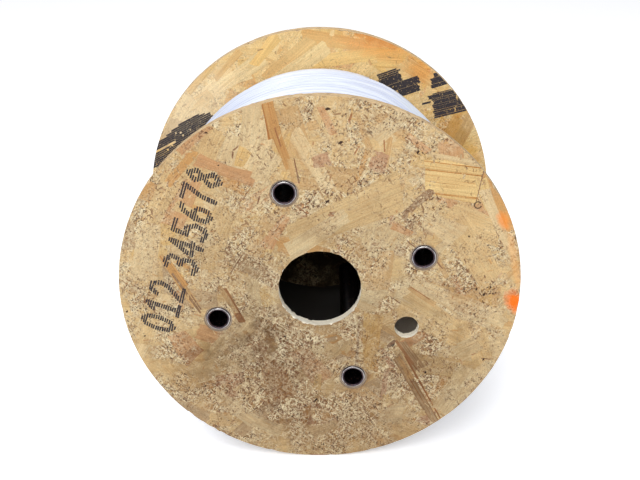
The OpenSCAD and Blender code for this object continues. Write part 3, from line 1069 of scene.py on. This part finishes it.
# %% Board material
CRUMB_LAYERS = [
    # turn in radians, length, width, share, strength
    (0.35, 0.0042, 0.0012, 0.5, 0.66), (1.42, 0.0036, 0.0010, 0.5, 0.66),
    (2.45, 0.0050, 0.0013, 0.45, 0.66), (0.95, 0.0100, 0.0010, 0.14, 0.7),
]
CURL_LAYERS = [(2.0, 0.0054, 0.0012, 0.07), (0.6, 0.0040, 0.0012, 0.07)]
CURL_BEND = 0.004
SPOT_DEEP = 0.05
BARREL_EDGE = (0.1256, 0.1246)
REAR_HALF = (-0.05, 0.05)


def spot(g, place, y, x, z, wide, tall, turn, fray, amount):
    """Mask of one soft spot on the board face at y, given in millimetres and degrees."""
    size = (wide * MM, SPOT_DEEP, tall * MM)
    mask = g.group(SPOT, Place=place, Centre=(x * MM, y * MM, (AXIS_Z + z) * MM), Size=size,
                   Turn=radians(turn), Fray=fray)["Mask"]
    return g.times(mask, amount)


def shade_inside_barrel(g, place):
    """Where an inner face lies inside the barrel, on the rear flange: a mask for painted shade."""
    x, y, z = g.node("SeparateXYZ", {0: place})
    away = g.node("CombineXYZ", {0: x, 1: g.less(z, AXIS_Z * MM)})[0]
    away = g.node("VectorMath", {0: away}, operation="LENGTH")[1]
    return g.times(g.ramp(away, *BARREL_EDGE), g.ramp(y, *REAR_HALF), 0.95)


def board_material(name, warm, grime, crumbs, y=0.0, stains_and_shade=(), crowds=(), paint=(),
                   ink_tone=(50, 46, 52), barrel_shade=False):
    """Strand board. Stains darken the wood, some of them as painted shade; crowds gather
    crumbs, paint covers it, and inner faces can get painted shade inside the barrel.
    """
    made, g, place = new_material(name)
    strand = g.attribute("strand_place")
    step, chips, ink = g.node("SeparateXYZ", {0: g.attribute("board_marks")})
    comb = g.times(g.calc("MINIMUM", chips, 0.0), -1.0)
    chips = g.calc("MAXIMUM", chips, 0.0)
    grain = g.group(FIBRE, Strand=strand)
    broad = g.group(FIBRE, Strand=strand, Along=9.0, Across=190.0)
    late = g.group(FIBRE, Strand=strand, Along=5.0, Across=420.0)
    dirt = g.group(DUST, Place=place, Cloud=16.0, Grain=700.0)
    wood = g.shade(g.span(grain["Streak"], 0.44, 0.0), g.attribute("strand_tint", "Color"),
                   (206, 164, 112))
    wood = g.scaled(wood, g.span(broad["Streak"], 0.87, 1.06))
    wood = g.shade(g.times(comb, g.ramp(late["Streak"], 0.5, 0.85)), wood, (206, 158, 100))
    for *where, tone, amount in stains_and_shade:
        wood = g.shade(spot(g, place, y, *where, amount), wood, tone)
    # Painted shade: the rear inner face goes nearly black where the barrel covers it.
    if barrel_shade:
        wood = g.shade(shade_inside_barrel(g, place), wood, (44, 38, 34))
    near = g.noise(place, 30.0, 3.0, 0.6)
    for *where, amount in crowds:
        near = g.calc("MAXIMUM", near, spot(g, place, y, *where, 0, 0.5, amount))
    crowd = g.times(chips, g.ramp(near, 0.38, 0.6))
    raised = g.times(grain["Streak"], 0.3)
    crack = g.noise(place, 420.0)
    for turn, length, width, share, strength in CRUMB_LAYERS:
        crumb = g.group(CRUMBS, Place=place, Turn=turn, Length=length, Width=width)
        there = g.times(crowd, g.ramp(crumb["Pick"], 1 - share, 1.02 - share))
        own = g.mix(g.ramp(crumb["Tone"], 0.12, 0.5), (152, 106, 72), (255, 243, 212))
        wood = g.mix(g.times(there, strength * crumbs), wood, own)
        rim = g.times(there, crumb["Edge"], g.ramp(crack, 0.42, 0.6))
        wood = g.mix(g.times(rim, 0.88 * crumbs), wood, (86, 54, 38))
        raised = g.less(g.add(raised, g.times(there, 0.4)), g.times(rim, 0.5))
    for turn, length, width, share in CURL_LAYERS:
        curl = g.group(CRUMBS, Place=place, Turn=turn, Length=length, Width=width, Bend=CURL_BEND)
        there = g.times(g.ramp(near, 0.46, 0.66), g.ramp(curl["Pick"], 1 - share, 1.01 - share),
                        g.less(1.0, curl["Edge"]))
        wood = g.mix(g.times(there, 0.8 * crumbs), wood, (116, 74, 50))
    # Painted shade: a thin broken dark line on the step round each strand.
    line = g.times(step, g.ramp(g.noise(place, 260.0), 0.44, 0.66))
    wood = g.mix(g.times(line, 0.34), wood, (150, 110, 76))
    grit = g.times(g.ramp(g.noise(place, 620.0, 1.0, 0.4), 0.61, 0.67), g.ramp(near, 0.36, 0.56),
                   g.ramp(chips, 0.05, 0.4, 0.25, 1.0))
    wood = g.mix(g.times(grit, 0.85 * crumbs), wood, (84, 56, 42))
    wood = g.shade(1.0, wood, warm)
    wood = g.shade(g.times(dirt["Mask"], grime), wood, (196, 172, 144))
    wood = g.scaled(wood, g.span(dirt["Grain"], 0.84, 1.12))
    for *where, tone, amount in paint:
        wood = g.mix(spot(g, place, y, *where, amount), wood, tone)
    dry = g.ramp(g.add(grain["Fine"], dirt["Grain"]), 0.3, 0.6)
    bare = g.ramp(g.noise(place, 460.0, 2.0, 0.6), 0.62, 0.7)
    inked = g.times(ink, g.ramp(dry, 0.0, 0.7, 0.7, 0.98), g.less(1.0, g.times(bare, 0.6)))
    wood = g.mix(inked, wood, ink_tone)
    rough = g.less(g.span(grain["Fine"], 0.66, 0.86), g.times(inked, 0.12))
    surface(g, raised, 0.00018, Base_Color=wood, Roughness=rough, Specular_IOR_Level=0.3)
    return made


print("board material is ready")

# %% Dirt, spray, stains and painted shade of the board faces
FRONT_STAINS_AND_SHADE = [
    # x, z, width, height, turn, fray, screen colour, amount
    # The first row makes the face darker towards the bottom.
    (0, -120, 230, 150, 0, 0.4, (211, 209, 210), 0.9),
    (-10, 0, 190, 150, 0, 0.3, (232, 234, 236), 0.9),
    (-40, -100, 44, 84, 12, 0.55, (176, 156, 140), 0.75),
    (-60, -62, 60, 40, 0, 0.6, (190, 172, 150), 0.6),
    (10, -160, 90, 44, 0, 0.6, (200, 180, 156), 0.6),
    (-120, -90, 60, 60, 0, 0.6, (214, 200, 176), 0.5),
    (-64, 22, 34, 26, 0, 0.6, (214, 202, 184), 0.5),
    (-58, -36, 22, 46, 40, 0.6, (204, 192, 174), 0.6),
    (-110, -84, 46, 26, 40, 0.6, (214, 202, 184), 0.5),
    (8, 56, 30, 16, 0, 0.6, (214, 202, 184), 0.5),
    (54, -66, 17, 52, 6, 0.5, (226, 196, 130), 0.45),
    (120, -90, 70, 50, 30, 0.6, (206, 194, 172), 0.6),
    (150, -10, 34, 26, 0, 0.6, (214, 188, 156), 0.5),
    # Painted shade, with a little grime, in a ring round the lips of three tie tubes.
    (33.4, -102.7, 18, 18, 0, 0.35, (120, 96, 98), 0.75),
    (102.7, 33.4, 16, 16, 0, 0.4, (150, 130, 120), 0.6),
    (-102.7, -33.4, 15, 15, 0, 0.4, (170, 150, 136), 0.5),
]
FRONT_CROWDS = [
    # x, z, width, height, amount
    (22, 108, 44, 32, 0.8), (158, 2, 30, 24, 0.8), (-50, -115, 76, 64, 0.75),
    (-20, -60, 50, 30, 0.7), (112, -98, 24, 24, 0.8), (106, 84, 26, 30, 0.8),
    (-176, -12, 24, 40, 0.75), (52, 34, 30, 40, 0.7), (30, -140, 60, 34, 0.75),
]
FRONT_PAINT = [
    (194, -16, 11, 17, 8, 0.5, (238, 112, 0), 0.95), (179, 71, 7, 15, 28, 0.5, (236, 130, 30), 0.6),
    (191, 34, 5, 60, 12, 0.5, (238, 164, 84), 0.3),
]
REAR_TINTS = [
    (66, 182, 60, 20, -12, 0.4, (255, 196, 100), 0.75),
    (116, 150, 26, 18, -30, 0.4, (255, 196, 106), 0.6),
    # This row darkens the face on the right, just outside the winding.
    (158, 70, 34, 66, 18, 0.5, (212, 188, 124), 0.8),
]
REAR_PAINT = [
    (-140, 110, 80, 66, 0, 0.35, (250, 236, 210), 0.24),
    (10, 178, 110, 26, 0, 0.5, (255, 226, 160), 0.24),
]
outer_board = board_material("strand_board_outer", (224, 219, 207), 0.3, 1.0, -OUT_FACE,
                             FRONT_STAINS_AND_SHADE, FRONT_CROWDS, FRONT_PAINT, (36, 32, 38))
inner_board = board_material("strand_board_inner", (252, 246, 224), 0.1, 0.5, IN_FACE,
                             REAR_TINTS, (), REAR_PAINT, (38, 36, 46), barrel_shade=True)
rear_outer_board = board_material("strand_board_back", (230, 224, 212), 0.3, 0.6)
print("board materials made")

# %% [markdown]
# The sawn rim cuts across all the layers of strands. From the side they are thin lines that run
# round the board, some dark where a gap was left in the press. Holes are drilled, so their
# walls are pale and torn, with soft fibres that catch the light.

# %% Rim and hole materials


def cut_material(name, tone, dark, line_share, fuzz):
    """A cut through the board's layers."""
    made, g, place = new_material(name)
    rolled = g.attribute("strand_place")
    layers = g.group(FIBRE, Strand=rolled, Along=55.0, Across=1300.0)
    gaps = g.group(FIBRE, Strand=rolled, Along=120.0, Across=900.0)
    dirt = g.group(DUST, Place=place, Cloud=22.0, Grain=500.0)
    wood = g.mix(layers["Streak"], tone, dark)
    wood = g.mix(g.ramp(gaps["Streak"], line_share, line_share - 0.16), wood, (96, 78, 58))
    wood = g.scaled(wood, g.span(layers["Fine"], 0.84, 1.1))
    wood = g.shade(g.times(dirt["Mask"], 0.3), wood, (206, 184, 154))
    wood = g.shade(1.0, wood, g.attribute("strand_tint", "Color"))
    surface(g, g.add(layers["Streak"], g.times(dirt["Grain"], fuzz)), 0.00035, Base_Color=wood,
            Roughness=g.span(layers["Fine"], 0.74, 0.92), Specular_IOR_Level=0.25)
    return made


rim_wood = cut_material("strand_board_rim", (218, 196, 158), (186, 154, 114), 0.3, 0.6)
hole_wood = cut_material("strand_board_hole", (255, 253, 240), (255, 244, 222), 0.04, 1.2)
dress(front_flange, "strand_board", "front_flange", outer_board, inner_board, rim_wood, hole_wood)
dress(rear_flange, "strand_board", "rear_flange", rear_outer_board, inner_board, rim_wood,
      hole_wood)
print("both flanges dressed")

# %% [markdown]
# ## Winding
# The cable lies in four layers. The first three go from flange to flange, and the outer one
# stops before the rear flange, so the third layer shows beside it. A real winding is not a
# plain helix. Each turn lies straight beside the last one, and then crosses over to the next
# place within a short stretch, so the path's sideways place is a staircase with soft steps.

# %% Sweep of a round cable
CABLE_R = 4.7
PITCH_MM = 10.0
LAYER_R = (134.7, 142.66, 150.62, 158.58)
CROSS_AT = 52.0
CROSS_WIDE = 17.0
STREAK_R = 0.005


def sweep(name, path, outs, radius, sides, smooth=True):
    """A tube along a path in millimetres. outs gives one side direction for each point."""
    path = np.array(path, float)
    along = np.gradient(path, axis=0)
    along /= np.linalg.norm(along, axis=1)[:, None]
    outs = np.array(outs, float)
    outs -= (outs * along).sum(1)[:, None] * along
    outs /= np.linalg.norm(outs, axis=1)[:, None]
    across = np.cross(along, outs)
    angles = np.arange(sides) * 2 * pi / sides
    rings = path[:, None] + radius * (np.cos(angles)[:, None] * outs[:, None]
                                      + np.sin(angles)[:, None] * across[:, None])
    made = add_mesh(name, (rings.reshape(-1, 3) * MM).tolist(), tube_faces(len(path), sides),
                    smooth)
    run = np.concatenate([[0], np.cumsum(np.linalg.norm(np.diff(path, axis=0), axis=1))]) * MM
    around = [np.tile(wave * STREAK_R, len(path)) for wave in (np.cos(angles), np.sin(angles))]
    place = made.data.attributes.new("cable_place", "FLOAT_VECTOR", "POINT")
    place.data.foreach_set("vector", np.stack([np.repeat(run, sides), *around], 1).astype("f")
                           .ravel())
    print(name, len(made.data.polygons), "faces,", round(float(run[-1]), 2), "m of cable")
    return made


print("sweep is ready")

# %% Path of one layer


def soft_step(t):
    """0 to 1 without a corner."""
    t = min(1.0, max(0.0, t))
    return t * t * (3 - 2 * t)


def layer_point(radius, angle, y):
    """A point on the winding, in millimetres in the row frame."""
    turn = radians(angle)
    return (radius * cos(turn), y, AXIS_Z + radius * sin(turn))


def wound_layer(dice, radius, y_first, y_step, turns, end_angle, step_deg, bulge):
    """Path and side directions of one layer that ends at an angle."""
    first = end_angle - 360.0 * turns
    path = []
    outs = []
    sway = [dice.uniform(-0.28, 0.28) for _ in range(turns + 3)]
    lift = [dice.uniform(-0.22, 0.3) for _ in range(8 * turns + 24)]
    shift = [dice.uniform(-3, 3) for _ in range(turns + 3)]
    angle = first
    while angle <= end_angle + 1e-6:
        lap = (angle - CROSS_AT) / 360.0
        n = math.floor(lap)
        begun = n - math.floor((first - CROSS_AT) / 360.0)
        part = (lap - n) * 360.0 + shift[begun]
        crossed = begun + soft_step(part / CROSS_WIDE) - 1
        crossed = min(max(crossed, 0.0), float(turns))
        hump = sin(pi * min(1, max(0, part / CROSS_WIDE))) * bulge
        loose = (angle - first) / 45.0
        a, b = lift[int(loose)], lift[int(loose) + 1]
        loose = a + (b - a) * soft_step(loose - int(loose))
        wobble = sway[min(int(crossed), turns)] if 0.5 < crossed < turns - 0.5 else 0.0
        path.append(layer_point(radius + hump + loose, angle, y_first + y_step * crossed + wobble))
        outs.append(out_at(angle))
        angle += step_deg
    return path, outs


def out_at(angle):
    """The direction away from the reel's axis."""
    return (cos(radians(angle)), 0.0, sin(radians(angle)))


print("layer paths are ready")

# %% [markdown]
# The sheath is soft white plastic. It is not one flat white: each turn has long faint streaks
# of grey and lilac where it rubbed on the last one, and a satin gloss that breaks up along
# the cable.

# %% Sheath material
sheath, g, place = new_material("cable_sheath_white")
rubbed = g.group(FIBRE, Strand=g.attribute("cable_place"), Along=7.0, Across=420.0)
dirt = g.group(DUST, Place=place, Cloud=30.0, Grain=1500.0)
white = g.mix(g.ramp(rubbed["Streak"], 0.35, 1.0, 0.0, 0.85), (214, 220, 230), (166, 174, 204))
white = g.mix(g.times(dirt["Mask"], 0.3), white, (196, 200, 216))
surface(g, g.add(rubbed["Fine"], dirt["Grain"]), 0.00006, Base_Color=white,
        Roughness=g.span(rubbed["Fine"], 0.34, 0.52))
print("material", sheath.name, "made")

# %% Outer layer with its climb, its last crossing and its tail
OUTER_TURNS = 19
OUTER_STEP_DEG = 4.0
LAST_Y = 115.0
TAIL_ANGLE = 180.0
TAIL_R = 161.7
TAIL_LEN = 88.0
TAIL_STEPS = 14
TAIL_BOW = 0.5
CLIMB_DEG = 112.0
CLIMB_STEPS = 28
LAST_CROSS_DEG = 40.0
dice = random.Random(23)
turns_path, turns_outs = wound_layer(dice, LAYER_R[3], -LAST_Y + PITCH_MM / 2, PITCH_MM,
                                     OUTER_TURNS, TAIL_ANGLE, OUTER_STEP_DEG, 1.3)
path = []
outs = []
for k in range(CLIMB_STEPS):
    part = soft_step(k / CLIMB_STEPS)
    angle = TAIL_ANGLE - CLIMB_DEG * (1 - k / CLIMB_STEPS)
    path.append(layer_point(LAYER_R[2] + (LAYER_R[3] - LAYER_R[2]) * part, angle,
                            -LAST_Y + PITCH_MM / 2 * part))
    outs.append(out_at(angle))
for k, (x, y, z) in enumerate(turns_path):
    angle = TAIL_ANGLE - OUTER_STEP_DEG * (len(turns_path) - 1 - k)
    part = 1 - (TAIL_ANGLE - angle) / LAST_CROSS_DEG
    if part > 0:
        radius = hypot(x, z - AXIS_Z)
        radius += (TAIL_R - radius) * soft_step(2 * part)
        x, y, z = layer_point(radius, angle, y + (LAST_Y - y) * soft_step(part))
    path.append((x, y, z))
x_end, _, z_end = path[-1]
for part in (k / TAIL_STEPS for k in range(1, TAIL_STEPS + 1)):
    path.append((x_end - TAIL_BOW * sin(3.1 * part), LAST_Y, z_end - TAIL_LEN * part))
outs += turns_outs + [(-1.0, 0.0, 0.0)] * TAIL_STEPS
outer_layer = sweep("cable_outer_turns", path, outs, CABLE_R, 14)
dress(outer_layer, "cable_sheath", "cable_outer_layer", sheath)
tail_end = Vector(path[-1])
print("tail ends at", [round(c, 1) for c in tail_end])

# %% [markdown]
# Three more layers lie under the outer one. The third shows beside the rear flange, and the
# others only in slivers, so they need fewer sides. They are wound to and fro, so the hand
# changes from layer to layer.

# %% Inner layers
for name, node, radius, y_first, y_step, turns, step_deg, sides in (
        ("cable_third_turns", "cable_inner_layers", LAYER_R[2], LAST_Y, -PITCH_MM, 23, 5.0, 14),
        ("cable_second_turns", None, LAYER_R[1] - 0.2, -110.0, PITCH_MM, 22, 9.0, 8),
        ("cable_first_turns", None, LAYER_R[0] - 0.2, LAST_Y, -PITCH_MM, 23, 9.0, 8)):
    path, outs = wound_layer(dice, radius, y_first, y_step, turns, TAIL_ANGLE - CLIMB_DEG,
                             step_deg, 0.5)
    dress(sweep(name, path, outs, CABLE_R - 0.05, sides), "cable_sheath", node, sheath)
print("three inner layers")

# %% [markdown]
# ## Cable ends
# The inner end comes through a slanted hole beside the rear flange into the barrel and lies
# along its wall. Both ends were cut with pliers, so they show the sheath as a ring and three
# insulated copper cores. The cores are small turned shapes in the usual three colours.

# %% Inner end
LEAD_ANGLE = radians(-35.5)
LEAD_END_R = 118.8
LEAD_BEND_R = 26.89
LEAD_MID_Y = 91.29
LEAD_RUN = 35.0
BEND_STEPS = 12
RUN_STEPS = 8


def lead_point(r, along):
    """A point in the half plane of the inner end, in the row frame."""
    return (r * cos(LEAD_ANGLE), along, AXIS_Z + r * sin(LEAD_ANGLE))


path = []
for a in (radians(135 + 45 * k / BEND_STEPS) for k in range(BEND_STEPS + 1)):
    path.append(lead_point(LEAD_END_R + LEAD_BEND_R + LEAD_BEND_R * cos(a),
                           LEAD_MID_Y + LEAD_BEND_R * sin(a)))
path += [lead_point(LEAD_END_R, LEAD_MID_Y - LEAD_RUN * k / RUN_STEPS)
         for k in range(1, RUN_STEPS + 1)]
sideways = (-sin(LEAD_ANGLE), 0.0, cos(LEAD_ANGLE))
lead = sweep("cable_inner_lead", path, [sideways] * len(path), CABLE_R, 20)
dress(lead, "cable_sheath", "cable_inner_end", sheath)
lead_end = Vector(path[-1])
print("inner end stops at", [round(c, 1) for c in lead_end])

# %% Core materials


def core_material(name, tone, rough, metal=0.0):
    """Insulation or copper, with fine draw lines and a little dust."""
    made, g, place = new_material(name)
    dirt = g.group(DUST, Place=place, Cloud=300.0, Grain=4000.0)
    colour = g.mix(g.times(dirt["Mask"], 0.35), tone, tuple(0.8 * c for c in tone))
    surface(g, dirt["Grain"], 0.00002, Base_Color=colour, Metallic=metal,
            Roughness=g.span(dirt["Grain"], rough, rough + 0.15))
    return made


core_looks = [core_material("core_brown", (116, 74, 48), 0.4),
              core_material("core_blue", (64, 106, 168), 0.4),
              core_material("core_green_yellow", (150, 172, 60), 0.4),
              core_material("core_copper", (214, 140, 96), 0.3, 1.0)]
print(len(core_looks), "core looks")

# %% Cores at both cut ends
CORE_R = 1.45
COPPER_R = 0.75
CORE_CIRCLE_R = 1.85
CORE_SIDES = 14
FIRST_CORE_AT = 0.4
REACH = (1.3, 1.6, 1.9)


def cut_end(name, centre, axis):
    """Three cores that stand a little out of the cut sheath, each turned from a profile."""
    points, faces, slots = [], [], []
    side = axis.orthogonal().normalized()
    for core, reach in enumerate(REACH):
        spin = Matrix.Rotation(2 * pi * core / 3 + FIRST_CORE_AT, 3, axis)
        middle = centre + spin @ side * CORE_CIRCLE_R
        profile = [(CORE_R, -2.0), (CORE_R, reach - 0.15), (CORE_R - 0.15, reach),
                   (COPPER_R, reach), (COPPER_R, reach + 0.5), (COPPER_R - 0.2, reach + 0.6)]
        faces += tube_faces(len(profile), CORE_SIDES, len(points))
        slots += [core] * 3 * CORE_SIDES + [3] * 2 * CORE_SIDES + [core, 3]
        for radius, along in profile:
            for turn in (2 * pi * k / CORE_SIDES for k in range(CORE_SIDES)):
                ray = side * cos(turn) + axis.cross(side) * sin(turn)
                points.append((middle + axis * along + ray * radius) * MM)
    made = add_mesh(name, points, faces)
    made.data.polygons.foreach_set("material_index", slots)
    dress(made, "cable_sheath", None, *core_looks)


cut_end("cable_tail_cores", tail_end, Vector((0, 0, -1)))
cut_end("cable_lead_cores", lead_end, Vector((0, -1, 0)))
print("cores at both ends")

# %% [markdown]
# ## Tie tubes
# Each tube is thin zinc-coated steel. Its ends were rolled outwards over the board by a press,
# so the lip is a smooth half ring with small dents and a few short splits. The tube is turned
# from its profile and then shaken a little at the lips, so they catch the light unevenly.

# %% Tie tube meshes
TUBE_R = 10.5
TUBE_BORE_R = 9.3
LIP_R = 1.6
LIP_MID_R = TUBE_BORE_R + LIP_R
HIGHLIGHT_R = 11.5
HIGHLIGHT_HALF = 0.75
SHAKEN_Y = 127.5
HIGHLIGHT_Y = 128.5
SPLIT_DEEP = 0.45
TUBE_SIDES = 64


def tube_profile():
    """(radius, y) once round the wall, lips included."""
    floor_y = OUT_FACE - SINK_DEPTH
    arc = [radians(180 - 18 * k) for k in range(11)]
    lip = [(LIP_MID_R + LIP_R * cos(a), floor_y + LIP_R * sin(a)) for a in arc]
    half = [(TUBE_BORE_R, y) for y in (0.0, 40.0, 80.0, 118.0)] + lip + [
        (TUBE_R, floor_y), (TUBE_R, 118.0), (TUBE_R, 80.0), (TUBE_R, 40.0)]
    back = [(r, -y) for r, y in half[1:][::-1]]
    return half + [(TUBE_R, 0.0)] + back


def tie_tube(number, centre, material):
    """One tube with its two rolled lips."""
    dice = random.Random(300 + number)
    profile = tube_profile()
    phases = [dice.uniform(0, 6.28) for _ in range(4)]
    splits = [dice.randrange(TUBE_SIDES) for _ in range(3)]
    points = []
    highlight = []
    for radius, y in profile:
        # Where the zinc gets a painted highlight: a band round the crest of each lip.
        crest = 1 - abs(radius - HIGHLIGHT_R) / HIGHLIGHT_HALF
        highlight += [max(0.0, crest) if abs(y) > HIGHLIGHT_Y else 0.0] * TUBE_SIDES
        for k in range(TUBE_SIDES):
            turn = 2 * pi * k / TUBE_SIDES
            off = 0.0
            if abs(y) > SHAKEN_Y and radius > TUBE_BORE_R:
                off = 0.14 * sin(3 * turn + phases[0]) + 0.1 * sin(7 * turn + phases[1])
                if k in splits and radius > LIP_MID_R:
                    off -= SPLIT_DEEP
            x, z = placed(*centre, turn, radius + off, 0)
            points.append((x * MM, (y - 0.4 * off) * MM, (AXIS_Z + z) * MM))
    made = add_mesh(f"tie_tube_{number}_steel", points,
                    tube_faces(len(profile), TUBE_SIDES, ring=True), True)
    made.data.attributes.new("lip_highlight", "FLOAT", "POINT").data.foreach_set("value", highlight)
    face_out(made.data)
    dress(made, "tube_steel", f"tie_tube_{number}", material)


print(len(tube_profile()), "rows in a tube's profile")

# %% [markdown]
# The zinc gets a painted highlight: a bright band round the crest of each rolled lip. Elsewhere it
# is dark, with painted shade deep inside the tube and grime with painted shade near the lip. The
# sink round the lip is dark too, with grime and painted shade, and rust starts in small spots.

# %% Zinc material
SHADE_DEPTH = (0.1262, 0.1288)
zinc, g, place = new_material("tube_zinc")
dirt = g.group(DUST, Place=place, Cloud=140.0, Grain=2200.0)
depth = g.calc("ABSOLUTE", g.node("SeparateXYZ", {0: place})[1])
# Painted shade: nearly black deep in the tube, less dark near the lip, where grime adds to it.
shaded_zinc = g.mix(g.ramp(depth, *SHADE_DEPTH), (34, 32, 36), (66, 56, 62))
# Painted highlight: this bright zinc, with dust, lies on the band round each lip's crest.
bright = g.mix(dirt["Mask"], (190, 188, 184), (104, 96, 106))
bright = g.mix(g.ramp(g.attribute("lip_highlight", "Fac"), 0.15, 0.6), shaded_zinc, bright)
rust = g.times(g.ramp(g.noise(place, 420.0, 4.0, 0.6), 0.56, 0.7), 0.6)
surface(g, dirt["Grain"], 0.00004, Base_Color=g.mix(rust, bright, (122, 84, 62)),
        Metallic=g.less(0.96, rust), Roughness=g.span(dirt["Grain"], 0.26, 0.5))
for number, centre in enumerate(TUBE_AT, 1):
    tie_tube(number, centre, zinc)
print("four tie tubes made")

# %% [markdown]
# ## Barrel
# The barrel is a paper tube, wound from strips that run round it at a slant. Its CAD node has
# the right shape already, so it only gets a material: brown-grey paper with a seam that climbs
# round the tube, and fine fibres. Away from the front flange its colour is painted nearly black,
# as shade deep inside the barrel.

# %% Paper material on the barrel
STRIP = 0.095
SEAM = (0.486, 0.497)
SHADED_FROM = (0.03, -0.03)
paper, g, place = new_material("paper_tube_spiral")
x, y, z = g.node("SeparateXYZ", {0: place})
turn = g.calc("ARCTAN2", g.less(z, AXIS_Z * MM), x)
climbed = g.calc("DIVIDE", g.add(y, g.times(turn, STRIP / (2 * pi))), STRIP)
seam = g.ramp(g.calc("ABSOLUTE", g.less(g.calc("FRACT", climbed), 0.5)), *SEAM)
dirt = g.group(DUST, Place=place, Cloud=18.0, Grain=1100.0)
brown = g.mix(dirt["Mask"], (232, 220, 206), (218, 204, 188))
# Painted shade: deeper in the barrel the paper is made nearly black.
brown = g.scaled(brown, g.span(g.ramp(y, *SHADED_FROM), 0.05, 1.0))
brown = g.scaled(brown, g.span(dirt["Grain"], 0.88, 1.08))
surface(g, g.less(dirt["Grain"], seam), 0.0001, Roughness=g.span(dirt["Grain"], 0.78, 0.92),
        Base_Color=g.mix(g.times(seam, 0.7), brown, (88, 74, 60)))
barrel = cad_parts["barrel"]
barrel.data.materials.clear()
barrel.data.materials.append(paper)

# %% [markdown]
# ## Staple
# A staple of flat square wire holds the cable's outer end on the rear flange. Its wire is bent,
# so its corners are round outside and it stays equally thick. We sweep a square along its path.

# %% Staple
STAPLE_WIRE = 1.4
STAPLE_HALF = 5.5
STAPLE_Z = 132.0
CROWN_Y = 109.5
LEG_Y = (127.4, 122.0, 116.0)
BEND_R = 1.5
steel_wire, g, place = new_material("staple_wire_steel")
dirt = g.group(DUST, Place=place, Cloud=260.0, Grain=2600.0)
surface(g, dirt["Grain"], 0.00003, Metallic=1.0, Roughness=g.span(dirt["Grain"], 0.28, 0.46),
        Base_Color=g.mix(dirt["Mask"], (196, 198, 204), (142, 140, 142)))
half_path = [(STAPLE_HALF, y) for y in LEG_Y]
for a in (radians(15 * k) for k in range(7)):
    half_path.append((STAPLE_HALF - BEND_R + BEND_R * cos(a), CROWN_Y + BEND_R - BEND_R * sin(a)))
half_path.append((0.0, CROWN_Y))
left_path = [(-u, y) for u, y in half_path[-2::-1]]
path = [(u - TAIL_R, y, STAPLE_Z) for u, y in half_path + left_path]
staple = sweep("end_staple_wire", path, [(0.0, 0.0, 1.0)] * len(path),
               STAPLE_WIRE / math.sqrt(2), 4, smooth=False)
dress(staple, "staple_steel", "end_staple", steel_wire)
print("staple made")

# %% [markdown]
# ## Floor and light
# The reel stands on a plain pale floor that runs out to white. The floor adds a little light of
# its own, but only for the camera and for reflections, so the reel isn't lit by it. A large
# soft lamp hangs above and to the left, a second one fills the front, and the world gives the
# rest. Together they light a surface so that its colour comes out about as it is written.

# %% Floor
FLOOR_HALF = 7.0
GLOW = 0.3
WHITE = linear(255, 255, 255)
floor = add_mesh("floor", [(x * FLOOR_HALF, y * FLOOR_HALF, 0)
                           for x, y in ((-1, -1), (1, -1), (1, 1), (-1, 1))], [(0, 1, 2, 3)])
floor_paint, g, place = new_material("floor_white")
pale = g.mix(g.noise(place, 40.0, 3.0), (248, 249, 252), (244, 246, 250))
matt = g.node("BsdfPrincipled", {"Base Color": pale, "Roughness": 0.9,
                                 "Specular IOR Level": 0.0})[0]
rays = g.node("LightPath")
seen = g.calc("MAXIMUM", rays["Is Camera Ray"], rays["Is Glossy Ray"])
seen = g.calc("MAXIMUM", seen, rays["Is Transmission Ray"])
glow = g.node("Emission", {"Color": WHITE, "Strength": g.times(seen, GLOW)})[0]
g.node("OutputMaterial", {"Surface": g.node("AddShader", {0: matt, 1: glow})[0]})
floor.data.materials.append(floor_paint)
print("floor laid")

# %% World
WORLD_LIGHT = 0.5
world = bpy.data.worlds.new("studio")
bpy.context.scene.world = world
world.use_nodes = True
world.node_tree.nodes.clear()
g = Graph(world.node_tree)
rays = g.node("LightPath")
seen = g.calc("MAXIMUM", rays["Is Camera Ray"], rays["Is Transmission Ray"])
backdrop = {"Color": WHITE, "Strength": g.span(seen, WORLD_LIGHT, 1.0)}
g.node("OutputWorld", {"Surface": g.node("Background", backdrop)[0]})
bpy.context.scene.view_settings.view_transform = "Standard"
print("world strength", WORLD_LIGHT)

# %% Lamps


def soft_lamp(name, place, aim, size, power):
    """A square lamp that looks at a point."""
    data = bpy.data.lights.new(name, "AREA")
    data.shape = "SQUARE"
    data.size = size
    data.energy = power
    lamp = show(name, data)
    lamp.location = place
    lamp.rotation_euler = (Vector(aim) - Vector(place)).to_track_quat("-Z", "Y").to_euler()


REEL_MIDDLE = (0, 0, 0.2)
soft_lamp("key_lamp", (-0.45, 0.3, 2.3), REEL_MIDDLE, 1.1, 22)
soft_lamp("front_lamp", (-0.3, -2.1, 2.1), REEL_MIDDLE, 1.6, 54)
print("two lamps hung")
